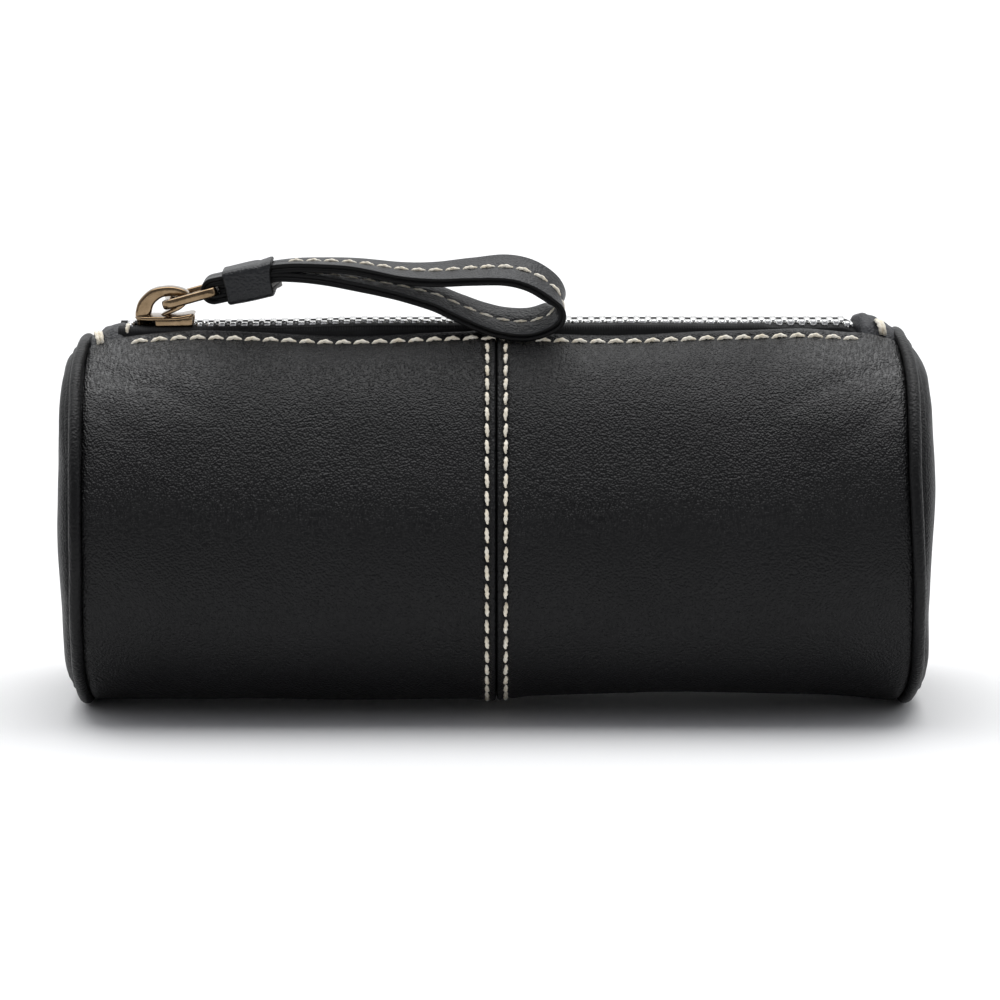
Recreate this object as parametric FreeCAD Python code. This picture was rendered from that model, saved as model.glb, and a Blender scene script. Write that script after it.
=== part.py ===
import FreeCAD, Part
import math
import os
from FreeCAD import Vector as V

os.makedirs("parts", exist_ok=True)

# ----------------------------------------------------------------------------
# Barrel-shaped leather pen case with a metal zip along its top, millimetres.
# +X runs along the barrel and the zip, -Y is the front, +Z is up.  The origin
# is on the resting surface, under the middle of the case.
# ----------------------------------------------------------------------------

# overall
HALF_LENGTH = 95.0          # crown of the domed ends
# barrel section: flat underneath, a lower arc, then a wide arc up to the zip
FLAT = 14.0                 # half width of the flat underside
BODY_Z0 = 2.2               # height of the flat underside
BODY_R1 = 27.5              # lower arcs, centred at y = +/-FLAT
BODY_R2 = 49.0              # upper arcs, tangent to the lower ones
TANGENT = -12.0             # slope of the skin's normal where they meet, degrees
PANEL_END = 86.2            # wrap panels and linings end here
LEATHER = 1.5               # wrap panel thickness
LINING_OUT, LINING_IN = 2.3, 2.9    # lining, measured in from the outside
SEAM_TAPE_OUT, SEAM_TAPE_IN = 1.6, 2.2
SEAM_TAPE_HALF = 6.0
SEAM_GAP = 0.15             # half gap between the two wrap panels
ZIP_EDGE = 7.0              # leather edge from the zip's centre line
FOLD_GAP = 0.15             # half gap at the fold line under the back wall
# piping around the two ends
RING_FLAT = 6.0
RING_ZC = 37.25
RING_R1 = 37.25
RING_R2 = RING_R1 + RING_FLAT
PIPING_R = 1.35
PIPING_CORE_R = 0.75
PIPING_BORE_R = 0.85
PIPING_X = 88.0
PIPING_IN = 1.25            # tube centre line, in from the ring's outside
# domed end panels
END_IN = 2.9                # rim of the end panel, in from the ring's outside
END_DOME_R = 137.0
END_ZC = 40.0
END_T = 1.4
END_LINING_T = 0.5
# zip
CHAIN_Z = 82.4              # mid plane of the chain
PITCH = 2.47
TOOTH_W = 1.1
TOOTH_H = 2.4
TOOTH_ROOT = 3.4
TOOTH_NOSE = 0.6
TAPE_T = 0.5
TAPE_IN = 1.9
TEETH_X0, TEETH_X1 = -72.0, 79.4
TAPE_END = 80.7
# slider
SL_X0, SL_X1 = -79.0, -66.0
SL_HALF = 4.6
SL_PLATE = 1.0
SL_FLANGE = 0.8
SL_GAP = 0.3                # running gap of the flanges on the tape
BAIL_HALF = 1.9
# pull ring
RING_WIRE = 0.85
RING_LEN = 10.7             # between the two bar centres
RING_HALF = 6.5
RING_CORNER = 1.6
RING_TILT = 15.5
BAR_X, BAR_Z = -71.5, 86.9  # bar that hangs in the bail
# strap
STRAP_HALF = 5.0
PLY0, PLY1 = 0.08, 0.85     # one ply, measured from the middle of the strap
FOLD_R = 1.875              # mid line of the fold round the ring
STRAP_TILT = 12.0           # slope of the strap in its keeper
KEEP_U0, KEEP_U1 = 2.6, 12.6
# thread
THREAD_OUT, THREAD_W = 0.45, 0.8
SEAM_ROW_X = 2.0
TOP_ROW_Y = 9.3


def save(shape, name):
    if not shape.isValid():
        raise RuntimeError(name + " is not valid")
    for s in shape.Solids:
        if s.Volume <= 0:
            raise RuntimeError(name + " has a bad solid")
    shape.exportStep("parts/%s.step" % name)
    bb = shape.BoundBox
    print("%-26s %3d solid %10.2f mm3  x %.2f %.2f  y %.2f %.2f  z %.2f %.2f" % (
        name, len(shape.Solids), shape.Volume, bb.XMin, bb.XMax,
        bb.YMin, bb.YMax, bb.ZMin, bb.ZMax))


def group(solids):
    return Part.makeCompound(solids)


def box(x0, x1, y0, y1, z0, z1):
    return Part.makeBox(x1 - x0, y1 - y0, z1 - z0, V(x0, y0, z0))


def prism(points, x0, x1):
    """A polygon given in (y, z), run along X."""
    vs = [V(x0, y, z) for y, z in points]
    face = Part.Face(Part.makePolygon(vs + [vs[0]]))
    return face.extrude(V(x1 - x0, 0, 0))


C1Z = BODY_Z0 + BODY_R1
N1 = math.radians(TANGENT)
# centre of an upper arc: C2Y past the middle plane, seen from its own side
C2Y = (BODY_R2 - BODY_R1) * math.cos(N1) - FLAT
C2Z = C1Z - (BODY_R2 - BODY_R1) * math.sin(N1)


def lower_pt(s, d, n, x):
    r = BODY_R1 - d
    return V(x, s * (FLAT + r * math.cos(n)), C1Z + r * math.sin(n))


def upper_pt(s, d, n, x):
    r = BODY_R2 - d
    return V(x, s * (r * math.cos(n) - C2Y), C2Z + r * math.sin(n))


def slope_at(y):
    """Slope of the skin's normal where the outside is y from the middle."""
    return math.acos((y + C2Y) / BODY_R2)


def wall(s, d0, d1, x0, x1, top_y, flat_to=None, n0=-math.pi / 2):
    """One wall of the barrel: s is -1 for the front and +1 for the back, d0
    and d1 are its two skins measured in from the outside, top_y is where it
    ends beside the zip.  flat_to is how far the flat underside reaches."""
    top = slope_at(top_y)

    def skin(d):
        out = []
        first = lower_pt(s, d, n0, x0)
        if flat_to is not None:
            first = V(x0, flat_to, BODY_Z0 + d)
            out.append(Part.LineSegment(first, lower_pt(s, d, n0, x0)).toShape())
        out.append(Part.Arc(lower_pt(s, d, n0, x0), lower_pt(s, d, 0.5 * (n0 + N1), x0),
                            lower_pt(s, d, N1, x0)).toShape())
        out.append(Part.Arc(upper_pt(s, d, N1, x0), upper_pt(s, d, 0.5 * (N1 + top), x0),
                            upper_pt(s, d, top, x0)).toShape())
        return out, first, upper_pt(s, d, top, x0)

    a, a0, a1 = skin(d0)
    b, b0, b1 = skin(d1)
    edges = a + [Part.LineSegment(a1, b1).toShape()] + b + [Part.LineSegment(b0, a0).toShape()]
    wire = Part.Wire(Part.__sortEdges__(edges))
    return Part.Face(wire).extrude(V(x1 - x0, 0, 0))


N0_BACK = -math.pi / 2 + FOLD_GAP / BODY_R1
FLAT_BACK = FLAT - FOLD_GAP


def front_wall(d0, d1, x0, x1, top_y=ZIP_EDGE):
    return wall(-1, d0, d1, x0, x1, top_y, flat_to=FLAT_BACK)


def back_wall(d0, d1, x0, x1, top_y=ZIP_EDGE):
    return wall(+1, d0, d1, x0, x1, top_y, n0=N0_BACK)


# ---------------------------------------------------------------- wrap panels
save(front_wall(0, LEATHER, -PANEL_END, -SEAM_GAP), "left_front_panel")
save(front_wall(0, LEATHER, SEAM_GAP, PANEL_END), "right_front_panel")
save(back_wall(0, LEATHER, -PANEL_END, -SEAM_GAP), "left_back_panel")
save(back_wall(0, LEATHER, SEAM_GAP, PANEL_END), "right_back_panel")
save(front_wall(SEAM_TAPE_OUT, SEAM_TAPE_IN, -SEAM_TAPE_HALF, SEAM_TAPE_HALF, 15.0), "front_seam_tape")
save(back_wall(SEAM_TAPE_OUT, SEAM_TAPE_IN, -SEAM_TAPE_HALF, SEAM_TAPE_HALF, 15.0), "back_seam_tape")
save(front_wall(LINING_OUT, LINING_IN, -PANEL_END, PANEL_END, ZIP_EDGE + 1.0), "front_lining")
save(back_wall(LINING_OUT, LINING_IN, -PANEL_END, PANEL_END, ZIP_EDGE + 1.0), "back_lining")


# -------------------------------------------------------------------- piping
def ring_tube(x, r, inset):
    """Round tube that follows the ring's outline: a flat, arcs and the top."""
    r1, r2 = RING_R1 - inset, RING_R2 - inset
    z0 = RING_ZC - r1
    h = math.sqrt(0.5)
    path = Part.Wire([
        Part.LineSegment(V(x, 0, z0), V(x, -RING_FLAT, z0)).toShape(),
        Part.Arc(V(x, -RING_FLAT, z0), V(x, -RING_FLAT - r1 * h, RING_ZC - r1 * h), V(x, -RING_FLAT - r1, RING_ZC)).toShape(),
        Part.Arc(V(x, -r2, RING_ZC), V(x, 0, RING_ZC + r2), V(x, r2, RING_ZC)).toShape(),
        Part.Arc(V(x, RING_FLAT + r1, RING_ZC), V(x, RING_FLAT + r1 * h, RING_ZC - r1 * h), V(x, RING_FLAT, z0)).toShape(),
        Part.LineSegment(V(x, RING_FLAT, z0), V(x, 0, z0)).toShape(),
    ])
    section = Part.Wire(Part.Circle(V(x, 0, z0), V(0, 1, 0), r).toShape())
    return path.makePipeShell([section], True, False)


for side, x in (("left", -PIPING_X), ("right", PIPING_X)):
    tube = ring_tube(x, PIPING_R, PIPING_IN).cut(ring_tube(x, PIPING_BORE_R, PIPING_IN))
    # flattened where the case stands on it
    tube = tube.cut(box(x - 5, x + 5, -30, 30, -5, 0)).Solids[0]
    save(tube, side + "_piping")
    save(ring_tube(x, PIPING_CORE_R, PIPING_IN), side + "_piping_cord")


# ---------------------------------------------------------------- end panels
def ring_prism(inset, x0, x1):
    r1, r2 = RING_R1 - inset, RING_R2 - inset
    z0 = RING_ZC - r1
    h = math.sqrt(0.5)
    edges = [
        Part.LineSegment(V(x0, RING_FLAT, z0), V(x0, -RING_FLAT, z0)).toShape(),
        Part.Arc(V(x0, -RING_FLAT, z0), V(x0, -RING_FLAT - r1 * h, RING_ZC - r1 * h), V(x0, -RING_FLAT - r1, RING_ZC)).toShape(),
        Part.Arc(V(x0, -r2, RING_ZC), V(x0, 0, RING_ZC + r2), V(x0, r2, RING_ZC)).toShape(),
        Part.Arc(V(x0, RING_FLAT + r1, RING_ZC), V(x0, RING_FLAT + r1 * h, RING_ZC - r1 * h), V(x0, RING_FLAT, z0)).toShape(),
    ]
    return Part.Face(Part.Wire(edges)).extrude(V(x1 - x0, 0, 0))


def dome(t0, t1, inset):
    """Domed sheet on the right end, between t0 and t1 behind the crown."""
    p = ring_prism(inset, 80, 100)
    outer = Part.makeSphere(END_DOME_R, V(HALF_LENGTH - END_DOME_R - t0, 0, END_ZC))
    inner = Part.makeSphere(END_DOME_R, V(HALF_LENGTH - END_DOME_R - t1, 0, END_ZC))
    return p.common(outer).cut(inner).Solids[0]


for side in ("left", "right"):
    panel = dome(0, END_T, END_IN)
    lining = dome(END_T + 0.1, END_T + 0.1 + END_LINING_T, END_IN + 0.2)
    if side == "left":
        panel = panel.mirror(V(0, 0, 0), V(1, 0, 0))
        lining = lining.mirror(V(0, 0, 0), V(1, 0, 0))
    save(panel, side + "_end_panel")
    save(lining, side + "_end_lining")


# ----------------------------------------------------------------------- zip
def tape(s):
    """Zip tape: level beside the chain, then down and under the leather."""
    zt, zb = CHAIN_Z + TAPE_T / 2, CHAIN_Z - TAPE_T / 2
    r_a, r_b = BODY_R2 - LEATHER - 0.1, BODY_R2 - LEATHER - 0.6
    x0, x1 = -TAPE_END, TAPE_END

    def on(r, y):
        return V(x0, s * y, C2Z + math.sqrt(r * r - (y + C2Y) ** 2))
    a = [V(x0, s * TAPE_IN, zt), V(x0, s * 5.4, zt), on(r_a, 6.55)]
    b = [on(r_b, 6.0), V(x0, s * 4.95, zb), V(x0, s * TAPE_IN, zb)]
    edges = [
        Part.LineSegment(a[0], a[1]).toShape(),
        Part.LineSegment(a[1], a[2]).toShape(),
        Part.Arc(a[2], on(r_a, 10.0), on(r_a, 14.0)).toShape(),
        Part.LineSegment(on(r_a, 14.0), on(r_b, 14.0)).toShape(),
        Part.Arc(on(r_b, 14.0), on(r_b, 10.0), b[0]).toShape(),
        Part.LineSegment(b[0], b[1]).toShape(),
        Part.LineSegment(b[1], b[2]).toShape(),
        Part.LineSegment(b[2], a[0]).toShape(),
    ]
    return Part.Face(Part.Wire(edges)).extrude(V(x1 - x0, 0, 0))


def tooth(x, s, w=TOOTH_W, root=TOOTH_ROOT, nose=TOOTH_NOSE):
    z0, z1 = CHAIN_Z - TOOTH_H / 2, CHAIN_Z + TOOTH_H / 2
    ya, yb = sorted((s * root, -s * nose))
    t = box(x - w / 2, x + w / 2, ya, yb, z0, z1)
    ca, cb = sorted((s * (TAPE_IN - 0.1), s * (root + 1)))
    return t.cut(box(x - w, x + w, ca, cb, CHAIN_Z - TAPE_T / 2 - 0.1, CHAIN_Z + TAPE_T / 2 + 0.1))


save(tape(-1), "front_zip_tape")
save(tape(+1), "back_zip_tape")
n_teeth = int((TEETH_X1 - TEETH_X0) / PITCH)
save(group([tooth(TEETH_X0 + i * PITCH, -1) for i in range(n_teeth)]), "front_zip_teeth")
save(group([tooth(TEETH_X0 + (i + 0.5) * PITCH, +1) for i in range(n_teeth)]), "back_zip_teeth")
save(tooth(-80.0, -1, 1.4, TOOTH_ROOT, -1.2), "front_top_stop")
save(tooth(-80.0, +1, 1.4, TOOTH_ROOT, -1.2), "back_top_stop")
stop = box(78.8, 80.2, -3.0, 3.0, CHAIN_Z - 1.4, CHAIN_Z + 1.4)
for s in (-1, 1):
    ya, yb = sorted((s * 1.8, s * 4.0))
    stop = stop.cut(box(78, 82, ya, yb, CHAIN_Z - TAPE_T / 2 - 0.1, CHAIN_Z + TAPE_T / 2 + 0.1))
save(stop, "bottom_stop")

# folded leather tabs over the two ends of the zip
TAB = [(-6.6, 80.0), (-6.6, 81.2), (-5.2, 82.5), (-3.4, 83.2), (3.4, 83.2), (4.6, 82.4), (4.6, 80.0)]
save(prism(TAB, -85.2, -80.9), "left_zip_tab")
save(prism(TAB, 80.9, 85.2), "right_zip_tab")

# ---------------------------------------------------------------- slider body
z_top = CHAIN_Z + TOOTH_H / 2 + 0.4
z_bot = CHAIN_Z - TOOTH_H / 2 - 0.4
PLAN = [(SL_X0, -SL_HALF + 2.0), (SL_X0 + 0.8, -SL_HALF + 0.9), (SL_X0 + 2.6, -SL_HALF + 0.15),
        (SL_X0 + 4.6, -SL_HALF), (SL_X1 - 1.1, -SL_HALF), (SL_X1 - 0.3, -SL_HALF + 0.45), (SL_X1, -SL_HALF + 1.4)]
PLAN = PLAN + [(x, -y) for x, y in reversed(PLAN)]


def plate(z0, z1):
    vs = [V(x, y, z0) for x, y in PLAN]
    return Part.Face(Part.makePolygon(vs + [vs[0]])).extrude(V(0, 0, z1 - z0))


def rounded(shape, z, r):
    edges = [e for e in shape.Edges if all(abs(v.Z - z) < 1e-6 for v in e.Vertexes)]
    return shape.makeFillet(r, edges)


top = rounded(plate(z_top, z_top + SL_PLATE), z_top + SL_PLATE, 0.45)
bottom = rounded(plate(z_bot - SL_PLATE, z_bot), z_bot - SL_PLATE, 0.45)
pieces = [bottom]
for s in (-1, 1):
    ya, yb = sorted((s * SL_HALF, s * (SL_HALF - SL_FLANGE)))
    pieces.append(box(SL_X0 + 5.2, SL_X1 - 1.1, ya, yb, CHAIN_Z + TAPE_T / 2 + SL_GAP, z_top + 0.3))
    pieces.append(box(SL_X0 + 5.2, SL_X1 - 1.1, ya, yb, z_bot - 0.3, CHAIN_Z - TAPE_T / 2 - SL_GAP))
post = Part.makeCylinder(1.2, z_top - z_bot + 0.6, V(SL_X0 + 2.0, 0, z_bot - 0.3))
pieces.append(post)
save(top.fuse(pieces).removeSplitter().Solids[0], "slider_body")

# bail that arches over the slider and holds the ring
zb = z_top + SL_PLATE + 0.02
BAIL_OUT = [(-78.3, zb), (-77.5, 87.6), (-74.8, 89.8), (-71.0, 90.42), (-67.9, 89.75), (-66.5, 88.4), (-67.1, 86.9), (-68.9, zb)]
BAIL_IN = [(-74.9, zb), (-74.3, 86.5), (-72.8, 87.95), (-71.0, 88.35), (-69.5, 88.15), (-69.0, 87.4), (-69.6, 86.3), (-71.0, zb)]


def curve(points):
    c = Part.BSplineCurve()
    c.interpolate([V(x, -BAIL_HALF, z) for x, z in points])
    return c.toShape()


def foot(p, q):
    return Part.LineSegment(V(p[0], -BAIL_HALF, p[1]), V(q[0], -BAIL_HALF, q[1])).toShape()


outer, inner = curve(BAIL_OUT), curve(BAIL_IN)
wire = Part.Wire(Part.__sortEdges__([outer, inner, foot(BAIL_OUT[0], BAIL_IN[0]), foot(BAIL_IN[-1], BAIL_OUT[-1])]))
bail = Part.Face(wire).extrude(V(0, 2 * BAIL_HALF, 0))
save(bail, "slider_bail")

# ------------------------------------------------------------------ pull ring
ca, sa = math.cos(math.radians(RING_TILT)), math.sin(math.radians(RING_TILT))


def ring_pt(u, y):
    return V(BAR_X + u * ca, y, BAR_Z + u * sa)


def ring_arc(uc, yc, a0, a1):
    pts = []
    for t in (a0, 0.5 * (a0 + a1), a1):
        r = math.radians(t)
        pts.append(ring_pt(uc + RING_CORNER * math.cos(r), yc + RING_CORNER * math.sin(r)))
    return Part.Arc(*pts).toShape()


c, hw, L = RING_CORNER, RING_HALF, RING_LEN
path = Part.Wire([
    Part.LineSegment(ring_pt(0, 0), ring_pt(0, -hw + c)).toShape(),
    ring_arc(c, -hw + c, 180, 270),
    Part.LineSegment(ring_pt(c, -hw), ring_pt(L - c, -hw)).toShape(),
    ring_arc(L - c, -hw + c, 270, 360),
    Part.LineSegment(ring_pt(L, -hw + c), ring_pt(L, hw - c)).toShape(),
    ring_arc(L - c, hw - c, 0, 90),
    Part.LineSegment(ring_pt(L - c, hw), ring_pt(c, hw)).toShape(),
    ring_arc(c, hw - c, 90, 180),
    Part.LineSegment(ring_pt(0, hw - c), ring_pt(0, 0)).toShape(),
])
section = Part.Wire(Part.Circle(ring_pt(0, 0), V(0, 1, 0), RING_WIRE).toShape())
ring = path.makePipeShell([section], True, False)
save(Part.Solid(ring) if ring.ShapeType == "Shell" else ring, "pull_ring")

# ---------------------------------------------------------------------- strap
BX, BZ = BAR_X + L * ca, BAR_Z + L * sa     # bar that carries the strap
ct, st = math.cos(math.radians(STRAP_TILT)), math.sin(math.radians(STRAP_TILT))


def keep_pt(u, m):
    return (BX + u * ct - m * st, 0.0, BZ + u * st + m * ct)


# middle of the strap past its keeper: x, y, z and sideways tilt in degrees,
# out along the upper run, round the loop's end and back along the lower run
LOOP = [
    (-41.03, -0.3, 95.13, 0.0), (-30.96, -1.2, 95.05, 2.4), (-20.9, -2.8, 93.93, 9.0),
    (-13.46, -4.3, 93.85, 13.5), (-5.8, -5.8, 94.6, 17.5), (1.64, -7.2, 95.04, 22.0),
    (6.67, -7.8, 93.95, 24.0), (10.85, -8.1, 91.35, 25.0), (12.95, -8.2, 88.45, 25.0),
    (12.75, -8.2, 86.15, 25.0), (10.6, -8.2, 84.5, 25.0), (6.67, -8.2, 83.24, 25.0),
    (1.64, -7.9, 83.47, 24.0), (-3.39, -7.2, 84.8, 22.0), (-8.42, -6.4, 86.81, 19.0),
    (-13.46, -5.2, 88.81, 15.0), (-20.9, -3.2, 90.3, 9.0), (-30.96, -1.3, 91.61, 3.0),
    (-38.62, -0.4, 92.45, 0.5),
]


def catmull(p, n):
    out = []
    for i in range(1, len(p) - 2):
        for k in range(n):
            t = k / n
            row = []
            for a, b, c_, d in zip(p[i - 1], p[i], p[i + 1], p[i + 2]):
                row.append(0.5 * (2 * b + (c_ - a) * t + (2 * a - 5 * b + 4 * c_ - d) * t * t
                                  + (3 * b - a - 3 * c_ + d) * t ** 3))
            out.append(tuple(row))
    out.append(p[-2])
    return out


tail = [keep_pt(u, -FOLD_R) + (0.0,) for u in (14.2, 7.0)]
fold = [keep_pt(-FOLD_R * math.cos(math.radians(a)), FOLD_R * math.sin(math.radians(a))) + (0.0,)
        for a in range(-90, 91, 15)]
ctrl = ([keep_pt(u, FOLD_R) + (0.0,) for u in (8.0, 12.6, 14.5)] + LOOP
        + [keep_pt(u, 0.0) + (0.0,) for u in (14.5, 12.6, 8.0)])
loop = catmull(ctrl, 3)
end = [keep_pt(u, 0.0) + (0.0,) for u in (8.0, 4.2)]
stations = tail + fold + [keep_pt(6.0, FOLD_R) + (0.0,)] + loop + end
pos = [V(*p[:3]) for p in stations]
frames = []
for i, p in enumerate(stations):
    t = (pos[min(i + 1, len(pos) - 1)] - pos[max(i - 1, 0)]).normalize()
    w = V(0, math.cos(math.radians(p[3])), math.sin(math.radians(p[3])))
    w = (w - t * w.dot(t)).normalize()
    frames.append((pos[i], w, t.cross(w)))


def ribbon(rows, n0, n1, w0, w1):
    q = [[c0 + n * a + w * b for a, b in ((n0, w0), (n1, w0), (n1, w1), (n0, w1))] for c0, w, n in rows]
    faces = []

    def tri(a, b, c_):
        faces.append(Part.Face(Part.makePolygon([a, b, c_, a])))
    for r, s in zip(q, q[1:]):
        for k in range(4):
            m = (k + 1) % 4
            if k < 2:
                tri(r[k], r[m], s[m])
                tri(r[k], s[m], s[k])
            else:
                tri(r[k], r[m], s[k])
                tri(r[m], s[m], s[k])
    for r in (q[0], q[-1]):
        tri(r[0], r[1], r[2])
        tri(r[0], r[2], r[3])
    solid = Part.Solid(Part.Shell(faces))
    if solid.Volume < 0:
        solid.reverse()
    return solid


save(ribbon(frames, PLY0, PLY1, -STRAP_HALF, STRAP_HALF), "strap_outer_ply")
save(ribbon(frames, -PLY1, -PLY0, -STRAP_HALF, STRAP_HALF), "strap_inner_ply")
out_rows = [f for i, f in enumerate(frames) if i > 16 and f[0].x > -47.0]
in_rows = [f for i, f in enumerate(frames) if i > 16 and f[0].x > -36.0]
save(group([ribbon(out_rows, PLY1 + 0.12, PLY1 + 0.42, -0.4, 0.4),
            ribbon(in_rows, -PLY1 - 0.50, -PLY1 - 0.22, -0.4, 0.4)]), "strap_stitching")
keeper = box(KEEP_U0, KEEP_U1, -6.2, 6.2, -3.85, 3.85).cut(
    box(KEEP_U0 - 1, KEEP_U1 + 1, -5.15, 5.15, -2.85, 2.85))
keeper = keeper.makeFillet(0.5, [e for e in keeper.Edges
                                 if abs(abs(e.Vertexes[0].Y) - 6.2) < 1e-6 and abs(abs(e.Vertexes[1].Y) - 6.2) < 1e-6
                                 and abs(e.Vertexes[0].X - e.Vertexes[1].X) > 1])
keeper.Placement = FreeCAD.Placement(V(BX, 0, BZ), FreeCAD.Rotation(V(0, 1, 0), -STRAP_TILT))
save(keeper, "strap_keeper")


# --------------------------------------------------------------------- thread
def seam_rows(fn, x):
    return fn(-THREAD_OUT, -0.03, x - THREAD_W / 2, x + THREAD_W / 2, 10.6)


save(seam_rows(front_wall, -SEAM_ROW_X), "front_seam_stitch_left")
save(seam_rows(front_wall, SEAM_ROW_X), "front_seam_stitch_right")
save(seam_rows(back_wall, -SEAM_ROW_X), "back_seam_stitch_left")
save(seam_rows(back_wall, SEAM_ROW_X), "back_seam_stitch_right")


def top_row(s):
    p0, p1 = slope_at(TOP_ROW_Y - THREAD_W / 2), slope_at(TOP_ROW_Y + THREAD_W / 2)
    pts = [upper_pt(s, d, p, 0) for d, p in ((-0.06, p0), (-THREAD_OUT, p0), (-THREAD_OUT, p1), (-0.06, p1))]
    return prism([(v.y, v.z) for v in pts], -78.0, 78.0)


save(top_row(-1), "front_topstitch")
save(top_row(+1), "back_topstitch")


def tack(x0, x1):
    line = [(-9.6, 80.6), (-6.6, 82.3), (-4.8, 83.3), (4.4, 83.3)]
    pts = line + [(y, z + 0.8) for y, z in reversed(line)]
    return prism(pts, x0, x1)


save(group([tack(-86.1, -85.3)]), "left_tack_stitch")
save(group([tack(85.3, 86.1)]), "right_tack_stitch")
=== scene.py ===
import bpy
import bmesh
import math
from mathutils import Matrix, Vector, noise


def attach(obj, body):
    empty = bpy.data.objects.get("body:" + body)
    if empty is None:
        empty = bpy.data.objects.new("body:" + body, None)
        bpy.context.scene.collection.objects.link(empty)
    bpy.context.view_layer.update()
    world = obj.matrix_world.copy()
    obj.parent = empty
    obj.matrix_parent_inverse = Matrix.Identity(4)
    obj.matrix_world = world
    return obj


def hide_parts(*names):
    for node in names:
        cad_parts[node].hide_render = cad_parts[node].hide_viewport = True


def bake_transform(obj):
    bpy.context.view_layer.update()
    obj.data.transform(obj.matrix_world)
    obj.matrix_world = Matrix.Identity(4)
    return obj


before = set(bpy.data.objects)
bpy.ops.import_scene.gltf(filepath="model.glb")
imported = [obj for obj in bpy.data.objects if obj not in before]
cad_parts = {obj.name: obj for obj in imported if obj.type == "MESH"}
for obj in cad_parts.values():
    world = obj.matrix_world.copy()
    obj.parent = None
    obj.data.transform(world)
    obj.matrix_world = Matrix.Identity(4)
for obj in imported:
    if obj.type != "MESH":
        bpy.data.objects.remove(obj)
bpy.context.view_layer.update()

MM = 0.001
scene = bpy.context.scene
rad = math.radians
cos, sin, pi, exp = math.cos, math.sin, math.pi, math.exp

# ----------------------------------------------------------------------------
# dimensions, millimetres
# ----------------------------------------------------------------------------
FLAT, Z0, R1, R2 = 14.0, 2.2, 27.5, 49.0
N1 = rad(-12.0)
C1Z = Z0 + R1
C2Y = (R2 - R1) * cos(N1) - FLAT
C2Z = C1Z - (R2 - R1) * sin(N1)
ZIP_EDGE = 7.0
NE = math.acos((ZIP_EDGE + C2Y) / R2)
FOLD_Y = 14.0
RF, RZ = 6.0, 37.25
RR1, RR2 = 37.25, 43.25
PIPE_X, PIPE_R, PIPE_IN = 88.0, 1.35, 1.25
PANEL_X = 86.95
CHAIN_Z = 82.4
PITCH = 2.47


def smooth(a, b, t):
    t = min(1.0, max(0.0, (t - a) / (b - a)))
    return t * t * (3 - 2 * t)


def bump(t, c, w):
    return exp(-((t - c) / w) ** 2)


def nz(x, y, z=0.0):
    return noise.noise(Vector((x, y, z)))


# ----------------------------------------------------------------------------
# materials
# ----------------------------------------------------------------------------
def material(name):
    m = bpy.data.materials.new(name)
    m.use_nodes = True
    nt = m.node_tree
    b = nt.nodes["Principled BSDF"]
    tc = nt.nodes.new("ShaderNodeTexCoord")
    return m, nt, b, tc


def node(nt, kind, **kw):
    n = nt.nodes.new(kind)
    for k, v in kw.items():
        if k.startswith("i_"):
            n.inputs[k[2:]].default_value = v
        else:
            setattr(n, k, v)
    return n


def noise_tex(nt, tc, scale, detail=3.0, rough=0.55):
    n = nt.nodes.new("ShaderNodeTexNoise")
    n.inputs["Scale"].default_value = scale
    n.inputs["Detail"].default_value = detail
    n.inputs["Roughness"].default_value = rough
    nt.links.new(tc.outputs["Object"], n.inputs["Vector"])
    return n


def ramp(nt, src, stops):
    r = nt.nodes.new("ShaderNodeValToRGB")
    els = r.color_ramp.elements
    while len(els) < len(stops):
        els.new(0.5)
    for e, (p, c) in zip(els, stops):
        e.position = p
        e.color = (c[0], c[1], c[2], 1.0) if isinstance(c, tuple) else (c, c, c, 1.0)
    nt.links.new(src, r.inputs["Fac"])
    return r


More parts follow.
